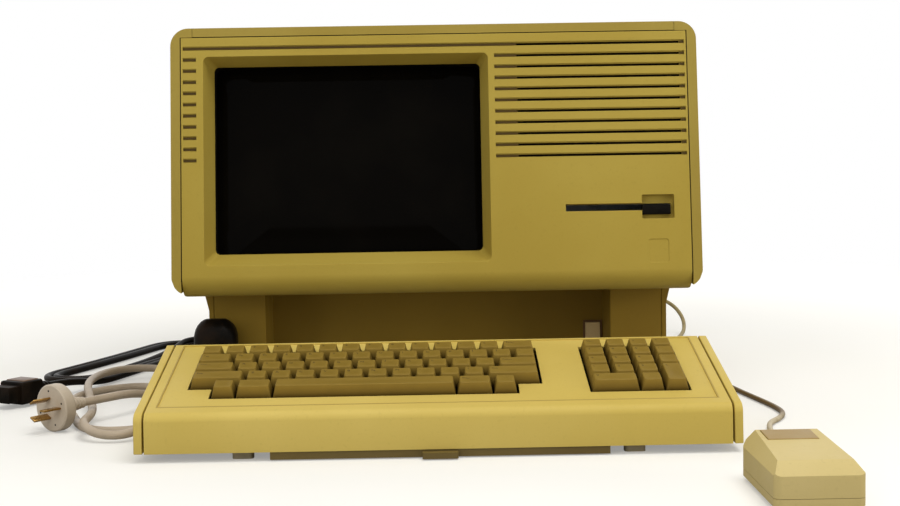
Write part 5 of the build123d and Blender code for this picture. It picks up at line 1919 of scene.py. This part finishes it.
@dataclass
class BezelGrooves:
    """Painted shade: dark strips on the bottoms of the shallow grooves and in the joint round the bezel."""

    top: float = 0.2224
    pitch: float = 0.01016
    rows: int = 11
    height: float = 0.0022
    front: float = 0.0011
    rear: float = 0.00149
    left: tuple[float, float] = (-0.2263, -0.2146)
    right: tuple[float, float] = (0.0544, 0.0744)
    outer: tuple[float, float] = (0.2222, 0.2263)
    half: float = 0.22855
    joint: float = 0.00084
    joint_front: float = 0.0003
    joint_rear: float = 0.0028
    joint_foot: float = 0.012
    joint_gap: float = 0.00045
    bezel_top: float = 0.2327

    def strip(self, mould: Mould, run: tuple[float, float], v: float) -> None:
        """A thin dark strip of painted shade on a groove's bottom.

        Args:
            mould: Where the strip goes.
            run: From where to where it runs across the face.
            v: How far up the face it lies.
        """
        seat = FACE.moved((run[0] + run[1]) / 2, v)
        mould.shell(
            bar(run[1] - run[0], self.height, 0.0002, low=-self.rear, high=-self.front, per_corner=2), seat
        )

    def seam(self, mould: Mould, seat: Seat, width: float, height: float) -> None:
        """A dark strip of painted shade in the joint between the bezel and the casing.

        Args:
            mould: Where the strip goes.
            seat: Its middle.
            width: Its size across the face.
            height: Its size up the face.
        """
        mould.shell(
            bar(width, height, 0.0001, low=-self.joint_rear, high=-self.joint_front, per_corner=2),
            seat,
            finish=1,
        )

    def build(self) -> None:
        """Painted shade strips in every groove, and in the joints at both sides and the top."""
        mould = Mould()
        self.strip(mould, (self.left[0], self.right[1]), self.top)
        self.strip(mould, self.outer, self.top)
        for v in self.top - np.arange(1, self.rows) * self.pitch:
            for run in (self.left, self.right, self.outer):
                self.strip(mould, run, float(v))
        middle = (self.bezel_top + self.joint_foot) / 2
        for x in (-self.half, self.half):
            self.seam(mould, FACE.moved(x, middle), self.joint, self.bezel_top - self.joint_foot)
        top = FACE.moved(0.0, self.bezel_top + self.joint_gap)
        self.seam(mould, top, 2 * self.half, self.joint)
        mould.piece("bezel_painted_shade", "front_bezel", ("groove_brown", "joint_painted_shade"))


@dataclass
class DeckLine:
    """A fine dark line of painted shade round the step of the keyboard's sunk deck."""

    left: float = -0.2152
    right: float = 0.2112
    front: float = -0.1129
    rear: float = 0.018
    width: float = 0.0012
    lift: float = 0.00008

    def build(self) -> None:
        """A front run and two side runs on the rim of the deck."""
        mould = Mould()
        middle = (self.left + self.right) / 2
        runs = (
            (middle, self.front - self.width / 2, self.right - self.left + 2 * self.width, 1.3 * self.width),
            (self.left - self.width / 2, (self.front + self.rear) / 2, self.width, self.rear - self.front),
            (self.right + self.width / 2, (self.front + self.rear) / 2, self.width, self.rear - self.front),
        )
        for x, y, across, along in runs:
            mould.shell(
                bar(across, along, corner=0.0003, low=-0.0003, high=self.lift, per_corner=2), DECK.moved(x, y)
            )
        mould.piece("deck_line", "keyboard", ("deck_step_painted_shade",))


@dataclass
class RearSockets:
    """Dark inserts, contacts and hex posts in the rear sockets."""

    face_y: float = 0.1953
    height: float = 0.058
    serial_x: tuple[float, ...] = (-0.078, -0.008, 0.062)
    rows: tuple[tuple[float, int], ...] = ((0.0016, 13), (-0.0016, 12))
    contact: Profile = ((0.0006, 0.0), (0.0006, 0.0006), (0.0003, 0.0007))
    contact_pitch: float = 0.00277
    post: Profile = ((0.0024, -0.0005), (0.0024, 0.0008), (0.0016, 0.0010))
    post_x: float = 0.0235
    ear: Profile = ((0.0032, -0.0005), (0.0032, 0.0002), (0.0030, 0.0003))
    ear_x: float = 0.128

    def build(self) -> None:
        """Two rows of contacts in each socket, with a hex post at each side."""
        mould = Mould()
        for x in self.serial_x:
            seat = rear_seat((x, self.face_y, self.height))
            mould.shell(
                slab(
                    width=0.040, height=0.0085, corner=0.002, low=-0.0005, high=0.0003, edge=0.0002, steps=2
                ),
                seat,
            )
            for row, count in self.rows:
                for place in (np.arange(count) - (count - 1) / 2) * self.contact_pitch:
                    mould.shell(turned(self.contact, count=8), seat.moved(place, row), finish=1)
            for side in (-self.post_x, self.post_x):
                mould.shell(turned(self.post, count=6), seat.moved(side, 0.0), finish=1)
        mould.shell(turned(self.ear, count=20), rear_seat((self.ear_x, self.face_y, self.height)))
        mould.piece("rear_socket_inserts", "main_unit", ("mask_black", "brass"))


# ---------------------------------------------------------------- room


@dataclass(frozen=True)
class Lamp:
    """A soft square lamp. A warmth of 0 is white, and 1 is a warm bulb's light."""

    name: str
    place: Point
    aim: Point
    size: float
    watts: float
    warmth: float = 0.2
    mirrored: bool = False

    def hang(self) -> None:
        """Hang the lamp and point it.

        Its warmth takes up to 14% of the green and 34% of the blue. Only a
        mirrored lamp shows in the screen and other shiny surfaces.
        """
        light = bpy.data.lights.new(self.name, "AREA")
        light.size = self.size
        light.energy = self.watts
        light.color = (1.0, 1.0 - 0.14 * self.warmth, 1.0 - 0.34 * self.warmth)
        lamp = placed(self.name, light)
        lamp.location = self.place
        lamp.visible_glossy = self.mirrored
        lamp.rotation_euler = (Vector(self.aim) - Vector(self.place)).to_track_quat("-Z", "Y").to_euler()


LAMPS = (
    Lamp("key_lamp", (0.45, -0.95, 2.2), (0.0, -0.25, 0.1), size=1.6, watts=31.0, mirrored=True),
    Lamp("fill_lamp", (-1.0, -2.2, 1.5), (0.0, -0.2, 0.15), size=1.4, watts=11.0),
    Lamp("rear_lamp", (0.3, 1.6, 1.8), (0.0, 0.0, 0.15), size=1.6, watts=12.0, warmth=0.15),
    Lamp("low_lamp", (-1.8, -1.9, 0.5), (0.2, -0.5, 0.03), size=0.9, watts=6.3),
    Lamp("side_lamp", (1.5, -0.95, 0.30), (0.19, -0.13, 0.08), size=0.5, watts=5.5),
)


@dataclass
class Room:
    """The pale floor, the lamps and the camera of the photograph."""

    camera_place: Point = (-0.0045, -1.462, 0.2322)
    yaw: float = math.radians(0.71)
    pitch: float = math.radians(-4.20)
    roll: float = math.radians(-0.94)
    focal_px: float = 1427.84
    sensor: float = 36.0
    sky_fill: float = 0.30
    floor_unseen: Colour = (0.50, 0.485, 0.45)
    floor_seen: tuple[Colour, Colour] = ((0.685, 0.682, 0.655), (0.71, 0.707, 0.68))
    floor_glow: Colour = (1.0, 0.992, 0.955)
    near_glow: float = 0.30
    far_glow: float = 0.56
    glow_span: tuple[float, float] = (0.45, 1.1)
    fade_span: tuple[float, float] = (0.75, 1.5)
    floor_reach: float = 14.0

    def floor(self) -> None:
        """A wide pale sheet that keeps the shadow and fades to white far from the object."""
        mesh = bpy.data.meshes.new("floor")
        reach = self.floor_reach
        mesh.from_pydata(
            [(-reach, -reach, 0.0), (reach, -reach, 0.0), (reach, reach, 0.0), (-reach, reach, 0.0)],
            [],
            [(0, 1, 2, 3)],
        )
        graph = Graph("floor_white")
        rays = graph.nodes.new("ShaderNodeLightPath").outputs["Is Camera Ray"]
        mottle = graph.ramp(graph.noise(scale=3.0, detail=3.0), low=0.3, high=0.7)
        graph.feed("Base Color", graph.mix(rays, self.floor_unseen, graph.mix(mottle, *self.floor_seen)))
        graph.feed("Roughness", 0.75)
        graph.feed("Specular IOR Level", 0.1)
        graph.feed("Emission Color", self.floor_glow)
        length = graph.nodes.new("ShaderNodeVectorMath")
        length.operation = "LENGTH"
        graph.links.new(graph.place, length.inputs[0])
        away = length.outputs["Value"]
        glow = graph.ramp(away, *self.glow_span, self.near_glow, self.far_glow)
        graph.feed("Emission Strength", graph.product(glow, rays))
        clear = graph.nodes.new("ShaderNodeBsdfTransparent")
        blend = graph.nodes.new("ShaderNodeMixShader")
        graph.links.new(graph.product(graph.ramp(away, *self.fade_span), rays), blend.inputs[0])
        graph.links.new(graph.shader.outputs["BSDF"], blend.inputs[1])
        graph.links.new(clear.outputs[0], blend.inputs[2])
        graph.links.new(blend.outputs[0], graph.output.inputs["Surface"])
        mesh.materials.append(graph.material)
        floor = placed("floor", mesh)

    def sky(self) -> None:
        """Soft fill from all round, white where the camera or a reflection sees it."""
        world = bpy.data.worlds.new("studio")
        bpy.context.scene.world = world
        world.use_nodes = True
        tree = world.node_tree
        tree.nodes.clear()
        output = tree.nodes.new("ShaderNodeOutputWorld")
        fill = tree.nodes.new("ShaderNodeBackground")
        fill.inputs["Color"].default_value = (1.0, 0.99, 0.97, 1.0)
        fill.inputs["Strength"].default_value = self.sky_fill
        seen = tree.nodes.new("ShaderNodeBackground")
        seen.inputs["Color"].default_value = (1.0, 1.0, 1.0, 1.0)
        seen.inputs["Strength"].default_value = 1.0
        rays = tree.nodes.new("ShaderNodeLightPath")
        share = rays.outputs["Is Camera Ray"]
        for name in ("Is Glossy Ray", "Is Transmission Ray"):
            either = tree.nodes.new("ShaderNodeMath")
            either.operation = "MAXIMUM"
            tree.links.new(share, either.inputs[0])
            tree.links.new(rays.outputs[name], either.inputs[1])
            share = either.outputs[0]
        blend = tree.nodes.new("ShaderNodeMixShader")
        tree.links.new(share, blend.inputs[0])
        tree.links.new(fill.outputs[0], blend.inputs[1])
        tree.links.new(seen.outputs[0], blend.inputs[2])
        tree.links.new(blend.outputs[0], output.inputs["Surface"])

    def camera(self) -> None:
        """The fitted camera, turned by its yaw, pitch and roll about its own place.

        It looks along (sin yaw cos pitch, cos yaw cos pitch, sin pitch).
        """
        forward = Vector(
            (
                math.sin(self.yaw) * math.cos(self.pitch),
                math.cos(self.yaw) * math.cos(self.pitch),
                math.sin(self.pitch),
            )
        )
        level = Vector((math.cos(self.yaw), -math.sin(self.yaw), 0.0))
        upright = level.cross(forward)
        right = level * math.cos(self.roll) + upright * math.sin(self.roll)
        up = upright * math.cos(self.roll) - level * math.sin(self.roll)
        lens = bpy.data.cameras.new("camera")
        lens.sensor_width = self.sensor
        lens.lens = self.focal_px * self.sensor / PHOTO_WIDTH
        lens.clip_end = 60.0
        camera = placed("camera", lens)
        axes = Matrix((right, up, -forward)).transposed().to_4x4()
        camera.matrix_world = Matrix.Translation(Vector(self.camera_place)) @ axes
        bpy.context.scene.camera = camera

    def build(self) -> None:
        """Floor, fill, lamps and camera, with colours shown as they are."""
        self.floor()
        self.sky()
        for lamp in LAMPS:
            lamp.hang()
        self.camera()
        bpy.context.scene.view_settings.view_transform = "Standard"
        log.info("room ready")


def main() -> None:
    """Build the desktop computer's looks over its CAD parts, piece by piece."""
    logging.basicConfig(level=logging.INFO, format="%(name)s: %(message)s")
    Room().build()
    dress_nodes()
    for shell in EASED_SHELLS:
        shell.build()
    PictureTube().build()
    KeyCaps().build()
    MouseRoller().build()
    for sheet in FACE_SHEETS:
        sheet.build()
    BezelGrooves().build()
    DeckLine().build()
    RearSockets().build()
    GreyPlug().build()
    BlackPlug().build()
    MousePlug().build()
    MouseCord().build()
    GreyLead().build()
    BlackLead().build()


if __name__ == "__main__":
    main()
